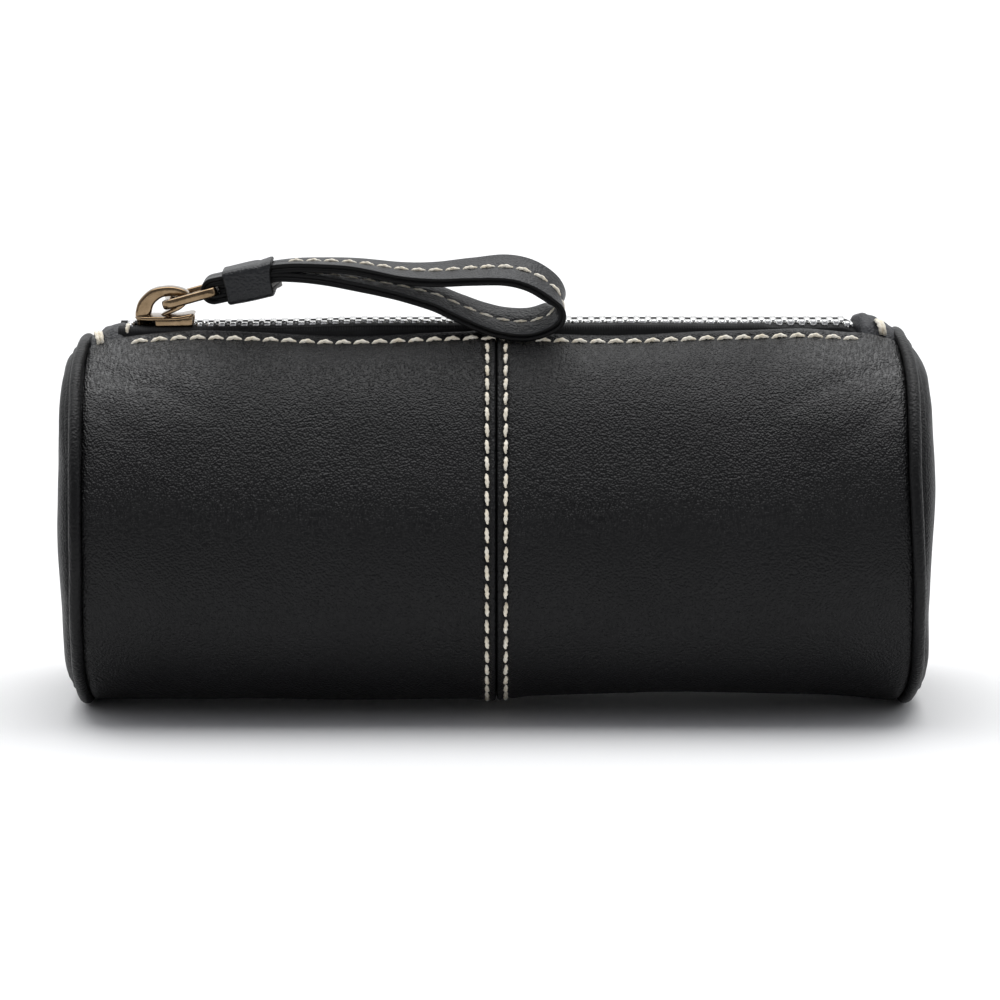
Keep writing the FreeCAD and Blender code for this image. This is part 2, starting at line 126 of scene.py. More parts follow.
def leather(name, dark, light, r0, r1, grain=0.75, depth=0.00009, spec=0.5, crease=0.0):
    """Finely pebbled leather: cells with soft valleys, hair-fine pores, drawn
    lines that run up towards both ends, and patches a little more or less
    polished."""
    m, nt, b, tc = material(name)
    big = noise_tex(nt, tc, 34.0, 4.0)
    col = ramp(nt, big.outputs["Fac"], [(0.3, dark), (0.72, light)])
    nt.links.new(col.outputs["Color"], b.inputs["Base Color"])
    warp = noise_tex(nt, tc, 900.0, 2.0)
    mixv = nt.nodes.new("ShaderNodeVectorMath")
    mixv.operation = "MULTIPLY_ADD"
    nt.links.new(warp.outputs["Color"], mixv.inputs[0])
    mixv.inputs[1].default_value = (0.0005, 0.0005, 0.0005)
    nt.links.new(tc.outputs["Object"], mixv.inputs[2])
    v = nt.nodes.new("ShaderNodeTexVoronoi")
    v.feature = "SMOOTH_F1"
    v.inputs["Scale"].default_value = 1000.0 / grain
    v.inputs["Smoothness"].default_value = 0.45
    nt.links.new(mixv.outputs[0], v.inputs["Vector"])
    fine = noise_tex(nt, tc, 5200.0, 2.0)
    wide = noise_tex(nt, tc, 520.0, 3.0)
    b1 = node(nt, "ShaderNodeBump", i_Strength=1.0, i_Distance=depth, invert=True)
    nt.links.new(v.outputs["Distance"], b1.inputs["Height"])
    b2 = node(nt, "ShaderNodeBump", i_Strength=0.35, i_Distance=0.00004)
    nt.links.new(fine.outputs["Fac"], b2.inputs["Height"])
    nt.links.new(b1.outputs["Normal"], b2.inputs["Normal"])
    b3 = node(nt, "ShaderNodeBump", i_Strength=0.16, i_Distance=0.0003)
    nt.links.new(wide.outputs["Fac"], b3.inputs["Height"])
    nt.links.new(b2.outputs["Normal"], b3.inputs["Normal"])
    last = b3
    if crease:
        sep = nt.nodes.new("ShaderNodeSeparateXYZ")
        nt.links.new(tc.outputs["Object"], sep.inputs[0])
        mag = nt.nodes.new("ShaderNodeMath")
        mag.operation = "ABSOLUTE"
        nt.links.new(sep.outputs["X"], mag.inputs[0])
        com = nt.nodes.new("ShaderNodeCombineXYZ")
        nt.links.new(mag.outputs[0], com.inputs[0])
        nt.links.new(sep.outputs["Y"], com.inputs[1])
        nt.links.new(sep.outputs["Z"], com.inputs[2])
        run = nt.nodes.new("ShaderNodeVectorMath")
        run.operation = "DOT_PRODUCT"
        run.inputs[1].default_value = (0.10, 0.03, 0.12)
        wid = nt.nodes.new("ShaderNodeVectorMath")
        wid.operation = "DOT_PRODUCT"
        wid.inputs[1].default_value = (-0.76, -0.2, 0.64)
        for n_ in (run, wid):
            nt.links.new(com.outputs[0], n_.inputs[0])
        cv = nt.nodes.new("ShaderNodeCombineXYZ")
        nt.links.new(run.outputs["Value"], cv.inputs[0])
        nt.links.new(wid.outputs["Value"], cv.inputs[1])
        lines = nt.nodes.new("ShaderNodeTexNoise")
        lines.inputs["Scale"].default_value = 1700.0
        lines.inputs["Detail"].default_value = 2.0
        nt.links.new(cv.outputs[0], lines.inputs["Vector"])
        b4 = node(nt, "ShaderNodeBump", i_Strength=1.0, i_Distance=crease)
        nt.links.new(lines.outputs["Fac"], b4.inputs["Height"])
        nt.links.new(b3.outputs["Normal"], b4.inputs["Normal"])
        last = b4
    nt.links.new(last.outputs["Normal"], b.inputs["Normal"])
    mid = noise_tex(nt, tc, 90.0, 4.0)
    ro = ramp(nt, mid.outputs["Fac"], [(0.3, r0), (0.75, r1)])
    nt.links.new(ro.outputs["Color"], b.inputs["Roughness"])
    if not crease:
        b.inputs["Specular IOR Level"].default_value = spec
        return m
    far = node(nt, "ShaderNodeMapRange")
    far.inputs["From Min"].default_value = 0.054
    far.inputs["From Max"].default_value = 0.086
    nt.links.new(mag.outputs[0], far.inputs["Value"])
    high = node(nt, "ShaderNodeMapRange")
    high.inputs["From Min"].default_value = 0.0635
    high.inputs["From Max"].default_value = 0.0735
    nt.links.new(sep.outputs["Z"], high.inputs["Value"])
    both = nt.nodes.new("ShaderNodeMath")
    both.operation = "MULTIPLY"
    nt.links.new(far.outputs["Result"], both.inputs[0])
    nt.links.new(high.outputs["Result"], both.inputs[1])
    run2 = nt.nodes.new("ShaderNodeVectorMath")
    run2.operation = "DOT_PRODUCT"
    run2.inputs[1].default_value = (0.27, 0.08, 0.32)
    nt.links.new(com.outputs[0], run2.inputs[0])
    hv = nt.nodes.new("ShaderNodeCombineXYZ")
    nt.links.new(run2.outputs["Value"], hv.inputs[0])
    nt.links.new(wid.outputs["Value"], hv.inputs[1])
    hatch = nt.nodes.new("ShaderNodeTexNoise")
    hatch.inputs["Scale"].default_value = 2100.0
    hatch.inputs["Detail"].default_value = 1.0
    nt.links.new(hv.outputs[0], hatch.inputs["Vector"])
    part = node(nt, "ShaderNodeMapRange")
    part.inputs["From Min"].default_value = 0.38
    part.inputs["From Max"].default_value = 0.62
    part.inputs["To Min"].default_value = 0.06
    part.inputs["To Max"].default_value = 0.46
    nt.links.new(hatch.outputs["Fac"], part.inputs["Value"])
    out = nt.nodes.new("ShaderNodeMath")
    out.operation = "MULTIPLY_ADD"
    nt.links.new(both.outputs[0], out.inputs[0])
    nt.links.new(part.outputs["Result"], out.inputs[1])
    out.inputs[2].default_value = spec
    nt.links.new(out.outputs[0], b.inputs["Specular IOR Level"])
    return m


def thread_mat():
    m, nt, b, tc = material("ivory_thread_mat")
    n = noise_tex(nt, tc, 700.0, 3.0)
    col = ramp(nt, n.outputs["Fac"], [(0.25, (0.80, 0.70, 0.52)), (0.55, (0.93, 0.87, 0.74)), (0.85, (0.97, 0.95, 0.87))])
    nt.links.new(col.outputs["Color"], b.inputs["Base Color"])
    f = noise_tex(nt, tc, 6000.0, 3.0)
    bp = node(nt, "ShaderNodeBump", i_Strength=0.5, i_Distance=0.00006)
    nt.links.new(f.outputs["Fac"], bp.inputs["Height"])
    nt.links.new(bp.outputs["Normal"], b.inputs["Normal"])
    ro = ramp(nt, n.outputs["Fac"], [(0.3, 0.5), (0.8, 0.66)])
    nt.links.new(ro.outputs["Color"], b.inputs["Roughness"])
    b.inputs["Sheen Weight"].default_value = 0.15
    return m


def weave(name, c0, c1, rib, rough=0.8, depth=0.0001):
    """Woven cloth: crossing ribs with a little unevenness in the yarns."""
    m, nt, b, tc = material(name)
    w1 = nt.nodes.new("ShaderNodeTexWave")
    w1.bands_direction = "X"
    w2 = nt.nodes.new("ShaderNodeTexWave")
    w2.bands_direction = "Y"
    for w in (w1, w2):
        w.inputs["Scale"].default_value = 0.314 * 1000.0 / rib
        w.inputs["Distortion"].default_value = 0.6
        w.inputs["Detail"].default_value = 1.0
        nt.links.new(tc.outputs["Object"], w.inputs["Vector"])
    mul = nt.nodes.new("ShaderNodeMath")
    mul.operation = "MULTIPLY"
    nt.links.new(w1.outputs["Fac"], mul.inputs[0])
    nt.links.new(w2.outputs["Fac"], mul.inputs[1])
    col = ramp(nt, mul.outputs[0], [(0.05, c0), (0.7, c1)])
    nt.links.new(col.outputs["Color"], b.inputs["Base Color"])
    bp = node(nt, "ShaderNodeBump", i_Strength=0.8, i_Distance=depth)
    nt.links.new(mul.outputs[0], bp.inputs["Height"])
    nt.links.new(bp.outputs["Normal"], b.inputs["Normal"])
    n = noise_tex(nt, tc, 300.0, 2.0)
    ro = ramp(nt, n.outputs["Fac"], [(0.3, rough - 0.08), (0.8, rough + 0.08)])
    nt.links.new(ro.outputs["Color"], b.inputs["Roughness"])
    b.inputs["Specular IOR Level"].default_value = 0.3
    return m


def metal(name, c0, c1, r0, r1):
    """Plated metal with fine handling marks and a slightly uneven tone."""
    m, nt, b, tc = material(name)
    b.inputs["Metallic"].default_value = 1.0
    n = noise_tex(nt, tc, 420.0, 4.0)
    col = ramp(nt, n.outputs["Fac"], [(0.3, c0), (0.7, c1)])
    nt.links.new(col.outputs["Color"], b.inputs["Base Color"])
    s = noise_tex(nt, tc, 1600.0, 3.0)
    ro = ramp(nt, s.outputs["Fac"], [(0.3, r0), (0.75, r1)])
    nt.links.new(ro.outputs["Color"], b.inputs["Roughness"])
    bp = node(nt, "ShaderNodeBump", i_Strength=0.25, i_Distance=0.00005)
    nt.links.new(s.outputs["Fac"], bp.inputs["Height"])
    nt.links.new(bp.outputs["Normal"], b.inputs["Normal"])
    return m


M_LEATHER = leather("black_leather_mat", (0.0032, 0.0032, 0.0036), (0.0052, 0.0052, 0.0058), 0.38, 0.5, grain=0.47, depth=0.00024, spec=0.23, crease=0.0002)
M_END = leather("end_leather_mat", (0.0032, 0.0032, 0.0036), (0.0052, 0.0052, 0.0058), 0.42, 0.54, grain=0.47, depth=0.0002, spec=0.21)
M_PIPING = leather("piping_leather_mat", (0.0036, 0.0036, 0.004), (0.006, 0.006, 0.0066), 0.4, 0.5, grain=0.6, depth=0.00014, spec=0.2)
M_STRAP = leather("strap_leather_mat", (0.009, 0.0096, 0.011), (0.0145, 0.0155, 0.0178), 0.4, 0.5, grain=0.55, depth=0.00014, spec=0.35)
M_TAB = leather("tab_leather_mat", (0.012, 0.0125, 0.0145), (0.024, 0.025, 0.029), 0.42, 0.55, grain=0.55, depth=0.00014, spec=0.35)
M_EDGE = leather("painted_edge_mat", (0.0022, 0.0022, 0.0024), (0.004, 0.004, 0.0043), 0.42, 0.55, grain=0.9, depth=0.00004, spec=0.16)
M_THREAD = thread_mat()
M_TAPE = weave("zip_tape_mat", (0.0035, 0.0035, 0.0038), (0.012, 0.012, 0.013), 0.55)
M_LINING = weave("lining_cloth_mat", (0.02, 0.02, 0.022), (0.055, 0.055, 0.06), 0.8, 0.85)
M_CORD = weave("cord_core_mat", (0.45, 0.42, 0.36), (0.75, 0.72, 0.66), 0.6, 0.85)
M_TEETH = metal("zip_metal_mat", (0.74, 0.74, 0.73), (0.9, 0.9, 0.89), 0.16, 0.3)
M_SLIDER = metal("slider_metal_mat", (0.19, 0.132, 0.076), (0.30, 0.213, 0.13), 0.1, 0.2)
M_RAW = leather("raw_edge_mat", (0.11, 0.105, 0.1), (0.22, 0.21, 0.2), 0.6, 0.75, grain=0.5, depth=0.0002, spec=0.3)


# ----------------------------------------------------------------------------
# mesh helpers
# ----------------------------------------------------------------------------
def make(name, verts, faces, mat, body=None, slot=None, replaces=(), smooth_faces=True, blend=None, mats=None, face_mat=None):
    me = bpy.data.meshes.new(name)
    me.from_pydata([(p[0] * MM, p[1] * MM, p[2] * MM) for p in verts], [], faces)
    for x in (mats or [mat]):
        me.materials.append(x)
    if face_mat:
        me.polygons.foreach_set("material_index", face_mat)
    bm = bmesh.new()
    bm.from_mesh(me)
    bmesh.ops.recalc_face_normals(bm, faces=bm.faces)
    bm.to_mesh(me)
    bm.free()
    me.update()
    for p in me.polygons:
        p.use_smooth = smooth_faces
    ob = bpy.data.objects.new(name, me)
    scene.collection.objects.link(ob)
    if blend:
        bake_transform(ob)
    else:
        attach(ob, body)
    if replaces:
        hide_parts(*replaces)
    return ob


class Mesh:
    """Collects several closed bits into one mesh."""

    def __init__(self):
        self.v, self.f, self.fm = [], [], []

    def loops(self, rows, closed=False, cap=True, mat=0):
        """Skin over rows of points, each row a closed loop."""
        n = len(rows[0])
        base = len(self.v)
        for r in rows:
            self.v.extend(r)
        m = len(rows)
        for i in range(m if closed else m - 1):
            a, b = base + i * n, base + ((i + 1) % m) * n
            for k in range(n):
                k2 = (k + 1) % n
                self.f.append((a + k, a + k2, b + k2, b + k))
                self.fm.append(mat)
        if cap and not closed:
            for r in (0, m - 1):
                c = base + r * n
                self.f.append(tuple(c + k for k in range(n)))
                self.fm.append(mat)

    def make(self, name, mat, **kw):
        return make(name, self.v, self.f, mat, face_mat=self.fm if kw.get("mats") else None, **kw)


def vadd(a, b, k=1.0):
    return (a[0] + b[0] * k, a[1] + b[1] * k, a[2] + b[2] * k)


def vsub(a, b):
    return (a[0] - b[0], a[1] - b[1], a[2] - b[2])


def dot(a, b):
    return a[0] * b[0] + a[1] * b[1] + a[2] * b[2]


def cross(a, b):
    return (a[1] * b[2] - a[2] * b[1], a[2] * b[0] - a[0] * b[2], a[0] * b[1] - a[1] * b[0])


def unit(a):
    l = math.sqrt(dot(a, a)) or 1.0
    return (a[0] / l, a[1] / l, a[2] / l)


def twist_tube(out, path, r, up, sides=12, turns=1.3, lobes=2, taper=0.6, amp=0.2):
    """A laid thread along a path: a lobed section that turns as it goes."""
    rows = []
    n = len(path)
    for i, p in enumerate(path):
        t = unit(vsub(path[min(i + 1, n - 1)], path[max(i - 1, 0)]))
        side = unit(cross(t, up))
        nrm = cross(side, t)
        s = i / (n - 1)
        k = min(1.0, taper + (1 - taper) * sin(pi * s) ** 0.5) if taper < 1 else 1.0
        row = []
        for j in range(sides):
            a = 2 * pi * j / sides
            rr = r * k * (1 + amp * cos(lobes * (a - 2 * pi * turns * s)))
            row.append(vadd(vadd(p, side, rr * cos(a)), nrm, rr * sin(a)))
        rows.append(row)
    out.loops(rows)


def stitch(out, pts, nrms, r, high, deep, along=13, turns=1.4, sides=12):
    """One stitch over a short run of surface points: dives in at both ends."""
    path = []
    m = len(pts) - 1
    for i in range(along + 1):
        t = i / along
        f = t * m
        k = min(int(f), m - 1)
        f -= k
        p = tuple(a + (b - a) * f for a, b in zip(pts[k], pts[k + 1]))
        nn = unit(tuple(a + (b - a) * f for a, b in zip(nrms[k], nrms[k + 1])))
        h = -deep + (high + deep) * max(0.0, sin(pi * t)) ** 0.62
        path.append(vadd(p, nn, h))
    twist_tube(out, path, r, nrms[len(nrms) // 2], sides=sides, turns=turns)


# ----------------------------------------------------------------------------
# the barrel's skin
# ----------------------------------------------------------------------------
LOW = R1 * (pi / 2 + N1)
UPP = R2 * (NE - N1)
FLAT_LEN = {-1: FLAT + FOLD_Y - 0.12, 1: 0.0}
LEN = {sg: FLAT_LEN[sg] + LOW + UPP for sg in (-1, 1)}
R_TOP = RF + RR1 * pi / 2 + RR2 * pi / 2


def ring_point(u, inset):
    """Ring outline by length from the middle of its foot: offset across,
    height and slope of the normal."""
    s = 1.0 if u >= 0 else -1.0
    u = abs(u)
    if u <= RF:
        return s * u, inset, -pi / 2
    u -= RF
    if u <= RR1 * pi / 2:
        a = u / RR1 - pi / 2
        return s * (RF + (RR1 - inset) * cos(a)), RZ + (RR1 - inset) * sin(a), a
    a = (u - RR1 * pi / 2) / RR2
    return s * (RR2 - inset) * cos(a), RZ + (RR2 - inset) * sin(a), a


RU1 = R_TOP - RR2 * math.asin(ZIP_EDGE / RR2)
RU0 = {-1: -(RF + RR1 * math.asin((FOLD_Y - 0.12 - RF) / RR1)), 1: RF + RR1 * math.asin((FOLD_Y - RF) / RR1)}


def profile(sg, s):
    """Across, height and normal slope of the plain section."""
    if s < FLAT_LEN[sg]:
        return sg * (FLAT - FLAT_LEN[sg] + s), Z0, -pi / 2
    s -= FLAT_LEN[sg]
    if s <= LOW:
        a = s / R1 - pi / 2
        return sg * (FLAT + R1 * cos(a)), C1Z + R1 * sin(a), a
    a = N1 + (s - LOW) / R2
    return sg * (R2 * cos(a) - C2Y), C2Z + R2 * sin(a), a


SHIFT = {
    1: [(0.0, 0.6), (3.6, 1.0), (5.4, 1.5), (9.5, 1.95), (19.0, 1.75), (29.0, 1.45), (37.0, 1.15), (46.0, 0.7), (56.5, 0.42), (65.0, 0.65), (71.5, 0.84), (75.8, 0.7), (78.8, -0.1), (80.6, -1.1), (82.5, -1.9), (86.0, -2.0)],
    -1: [(0.0, 1.0), (3.4, 1.1), (7.0, 1.2), (12.6, 1.3), (18.7, 1.14), (27.0, 1.0), (37.0, 0.78), (55.0, 1.05), (69.4, 1.57), (74.0, 1.95), (77.6, 1.75), (80.0, 1.2), (84.0, 0.9)],
}


def along(pairs, t):
    if t <= pairs[0][0]:
        return pairs[0][1]
    for (a, b), (c, d) in zip(pairs, pairs[1:]):
        if t <= c:
            return b + (d - b) * (t - a) / (c - a)
    return pairs[-1][1]


def end_warp(p, push=1.0):
    """The soft ends: neither ring of piping is quite flat, and the right one
    stands a little taller."""
    x, y, z = p
    k = smooth(62.0, 88.0, abs(x))
    if abs(x) < 52.0:
        return p
    h = max(0.0, z) / 80.0
    sx = 1 if x > 0 else -1
    d = sum(along(SHIFT[sx], z + q) for q in (-2.4, -1.2, 0.0, 1.2, 2.4)) / 5 if push else 0.35
    if sx > 0:
        up = 0.95 * smooth(52.0, 74.0, x) - 0.35 * smooth(78.0, 88.0, x)
    else:
        up = -0.9 * smooth(74.0, 90.0, -x)
    return (x + sx * k * d, y, z + up * h)


def edge_wave(x):
    return 0.6 * cos(2 * pi * (x + 65.0) / 61.0) * (1 - smooth(70, 86, abs(x)))


def relief(sg, s, x, z, a, fine=True):
    """How far the skin stands off the plain section, outwards."""
    ax = abs(x)
    e = LEN[sg] - s
    seed = 3.1 if sg < 0 else 41.7
    mid = 1 - (min(ax, 86.0) / 86.0) ** 4
    d = 0.0
    # the upper half is less full than a circle, the lower half rounder
    if a > 0:
        d -= (1.5 if sg < 0 else 1.0) * bump(z, 60.0, 12.0) * mid
    # soft hollows and swells
    d += 0.55 * nz(x / 34.0 + seed, s / 30.0, 0.3) * mid
    d += 0.22 * nz(x / 13.0 + seed, s / 15.0, 1.7) * (0.35 + 0.65 * smooth(30, 80, ax))
    # the underside lifts along the right half
    under = smooth(rad(-35), rad(-75), a)
    if x > 0:
        d -= 1.5 * under * sin(pi * min(1.0, x / 84.0)) ** 0.7
    else:
        d -= 0.25 * under * sin(pi * min(1.0, ax / 84.0))
    # drawn creases that run from the piped corners towards the middle
    cr = smooth(48, 80, ax) * (1 - smooth(82, 86.5, ax))
    up = smooth(46, 66, z)
    d -= 0.40 * bump((s - LEN[sg]) + 0.55 * (86 - ax) + 12.0 + 2 * nz(ax / 9.0, seed), 0, 2.6) * cr * up
    d -= 0.28 * bump((s - LEN[sg]) + 0.85 * (86 - ax) + 24.0 + 3 * nz(ax / 11.0, seed + 5), 0, 3.4) * cr * up
    # shoulders fall away towards the piping
    d -= 0.8 * smooth(71.0, 86.0, ax) * smooth(rad(5), rad(35), a) * smooth(3.0, 14.0, e)
    # along the zip
    d += edge_wave(x) * exp(-(e / 11.0) ** 2)
    if fine:
        # pulled in along the stitch rows
        d -= 0.24 * bump(e, 3.3, 0.8) * (1 - smooth(78, 81, ax))
        d += 0.10 * cos(2 * pi * (x + 76.2) / 3.92) * bump(e, 3.3, 1.2) * (1 - smooth(76, 79, ax))
        d += 0.22 * bump(e, 1.3, 1.0)
        d -= 0.20 * smooth(2.0, 4.5, e) * (1 - smooth(5, 14, e))
        # the middle seam: a welt on each side of the fold
        if ax < 9:
            d += 0.40 * bump(ax, 0.75, 0.6)
            d -= 0.34 * bump(ax, 2.1, 0.62)
            d += 0.30 * bump(ax, 3.9, 1.5)
            d += 0.07 * sin(2 * pi * s / 3.95) * bump(ax, 2.3, 1.3)
            d -= 0.85 * (1 - smooth(0.0, 0.27, ax))
        # gathered against the piping
        d += 0.15 * nz(s / 2.6, seed + ax / 30.0) * exp(-((PANEL_X - ax) / 3.2) ** 2)
        d += 0.05 * nz(x / 3.0, s / 3.0, seed)
    return d


def skin(sg, s, x, d, fine=True):
    """A point of the barrel, d below its outside, and its normal."""
    y, z, a = profile(sg, s)
    ax = abs(x)
    d = d - relief(sg, s, x, z, a, fine)
    ny, nzv = sg * cos(a), sin(a)
    w = smooth(60.0, 86.0, ax) ** 1.3
    w *= 1 - 0.55 * smooth(14.0, 3.0, LEN[sg] - s) * (1 - smooth(80, 86.5, ax))
    roll = max(0.0, ax - 84.6) / (PANEL_X - 84.6)
    if w > 0:
        f = s / LEN[sg]
        u = RU0[sg] + (RU1 - RU0[sg]) * f
        ry, rz, ra = ring_point(u, 0.75)
        ry *= sg
        y += (ry - y) * w
        z += (rz - z) * w
        ny += (sg * cos(ra) * (1 if u >= 0 else -1) - ny) * w
        nzv += (sin(ra) - nzv) * w
        l = math.hypot(ny, nzv) or 1.0
        ny, nzv = ny / l, nzv / l
    d += 1.55 * (1 - math.sqrt(max(0.0, 1 - roll * roll)))
    return end_warp((x, y - ny * d, z - nzv * d)), (0.0, ny, nzv)


def x_stations(fine):
    if fine:
        v = [0.03, 0.1, 0.2, 0.33, 0.5, 0.7, 0.9, 1.1, 1.3, 1.5, 1.7, 1.9, 2.1, 2.3, 2.55, 2.85, 3.2, 3.7, 4.3, 5.0, 5.8, 6.7]
        x = 7.7
        while x < 83.6:
            v.append(x)
            x += 0.95
        return v + [83.8, 84.3, 84.7, 85.1, 85.5, 85.85, 86.15, 86.4, 86.6, 86.75, 86.87, PANEL_X]
    return [0.03] + [i * 3.0 for i in range(1, 28)] + [85.0, 86.4]


def wall(name, sg, xs, d0, d1, mat, fine, top=0.0, start=0.0, **kw):
    """A closed sheet between two depths; its zip edge is rolled over."""
    L = LEN[sg] - top
    step = 0.95 if fine else 2.6
    n = int((L - start) / step)
    out = Mesh()
    rows = []
    h = (d1 - d0) / 2
    for x in xs:
        row = []
        ss = [start + (L - h - start) * i / n for i in range(n + 1)]
        if fine:
            extra = [L - h - q for q in (0.5, 1.0, 1.5, 2.0, 2.5, 3.0, 3.5)]
            ss = sorted([q for q in ss if q < L - h - 3.8] + extra + [L - h])
        for s in ss:
            row.append(skin(sg, s, x, d0, fine)[0])
        # rolled edge
        p, nn = skin(sg, L - h, x, d0, fine)
        t = (0.0, nn[2] * (-sg), nn[1] * sg)
        for k in range(1, 6):
            a = pi * k / 6
            q = vadd(vadd(p, nn, -h * (1 - cos(a))), t, h * sin(a))
            row.append(q)
        for s in reversed(ss):
            row.append(skin(sg, s, x, d1, fine)[0])
        rows.append(row)
    m = len(rows[0])
    nl = len(ss)
    base = 0
    for r in rows:
        out.v.extend(r)
    for i in range(len(rows) - 1):
        a, b = i * m, (i + 1) * m
        for k in range(m):
            k2 = (k + 1) % m
            out.f.append((a + k, a + k2, b + k2, b + k))
    # close the two ends with strips between the outer and inner skins
    for i in (0, len(rows) - 1):
        c = i * m
        lo, hi = 0, m - 1
        while hi - lo > 2:
            out.f.append((c + lo, c + lo + 1, c + hi - 1, c + hi))
            lo += 1
            hi -= 1
        if hi - lo == 2:
            out.f.append((c + lo, c + lo + 1, c + hi))
    out.fm = [0] * len(out.f)
    return out.make(name, mat, **kw)


XF = x_stations(True)
XC = x_stations(False)
neg = lambda v: [-x for x in reversed(v)]

wall("leather_front_left", -1, neg(XF), 0.0, 1.4, M_LEATHER, True, body="case", slot="black_leather", replaces=("left_front_panel",))
wall("leather_front_right", -1, XF, 0.0, 1.4, M_LEATHER, True, body="case", slot="black_leather", replaces=("right_front_panel",))
wall("leather_back_left", 1, neg(XF), 0.0, 1.4, M_LEATHER, True, blend=-1, slot="black_leather", replaces=("left_back_panel",))
wall("leather_back_right", 1, XF, 0.0, 1.4, M_LEATHER, True, blend=1, slot="black_leather", replaces=("right_back_panel",))
wall("lining_front", -1, neg(XC) + XC, 2.3, 2.9, M_LINING, False, top=1.0, body="case", slot="lining_cloth", replaces=("front_lining",))
wall("lining_back_left", 1, neg(XC), 2.3, 2.9, M_LINING, False, top=1.0, blend=-1, slot="lining_cloth", replaces=("back_lining",))
wall("lining_back_right", 1, XC, 2.3, 2.9, M_LINING, False, top=1.0, blend=1, slot="lining_cloth", replaces=("back_lining",))
XT = [0.05, 1.5, 3.0, 4.5, 6.0]
wall("seam_tape_front", -1, neg(XT) + XT, 1.65, 2.15, M_TAPE, False, top=9.0, body="case", slot="lining_cloth", replaces=("front_seam_tape",))
wall("seam_tape_back_left", 1, neg(XT), 1.65, 2.15, M_TAPE, False, top=9.0, blend=-1, slot="lining_cloth", replaces=("back_seam_tape",))
wall("seam_tape_back_right", 1, XT, 1.65, 2.15, M_TAPE, False, top=9.0, blend=1, slot="lining_cloth", replaces=("back_seam_tape",))


# ----------------------------------------------------------------------------
# piping and domed ends
# ----------------------------------------------------------------------------
def ring_outline(n, inset):
    return [ring_point(-R_TOP + 2 * R_TOP * i / n, inset) for i in range(n)]


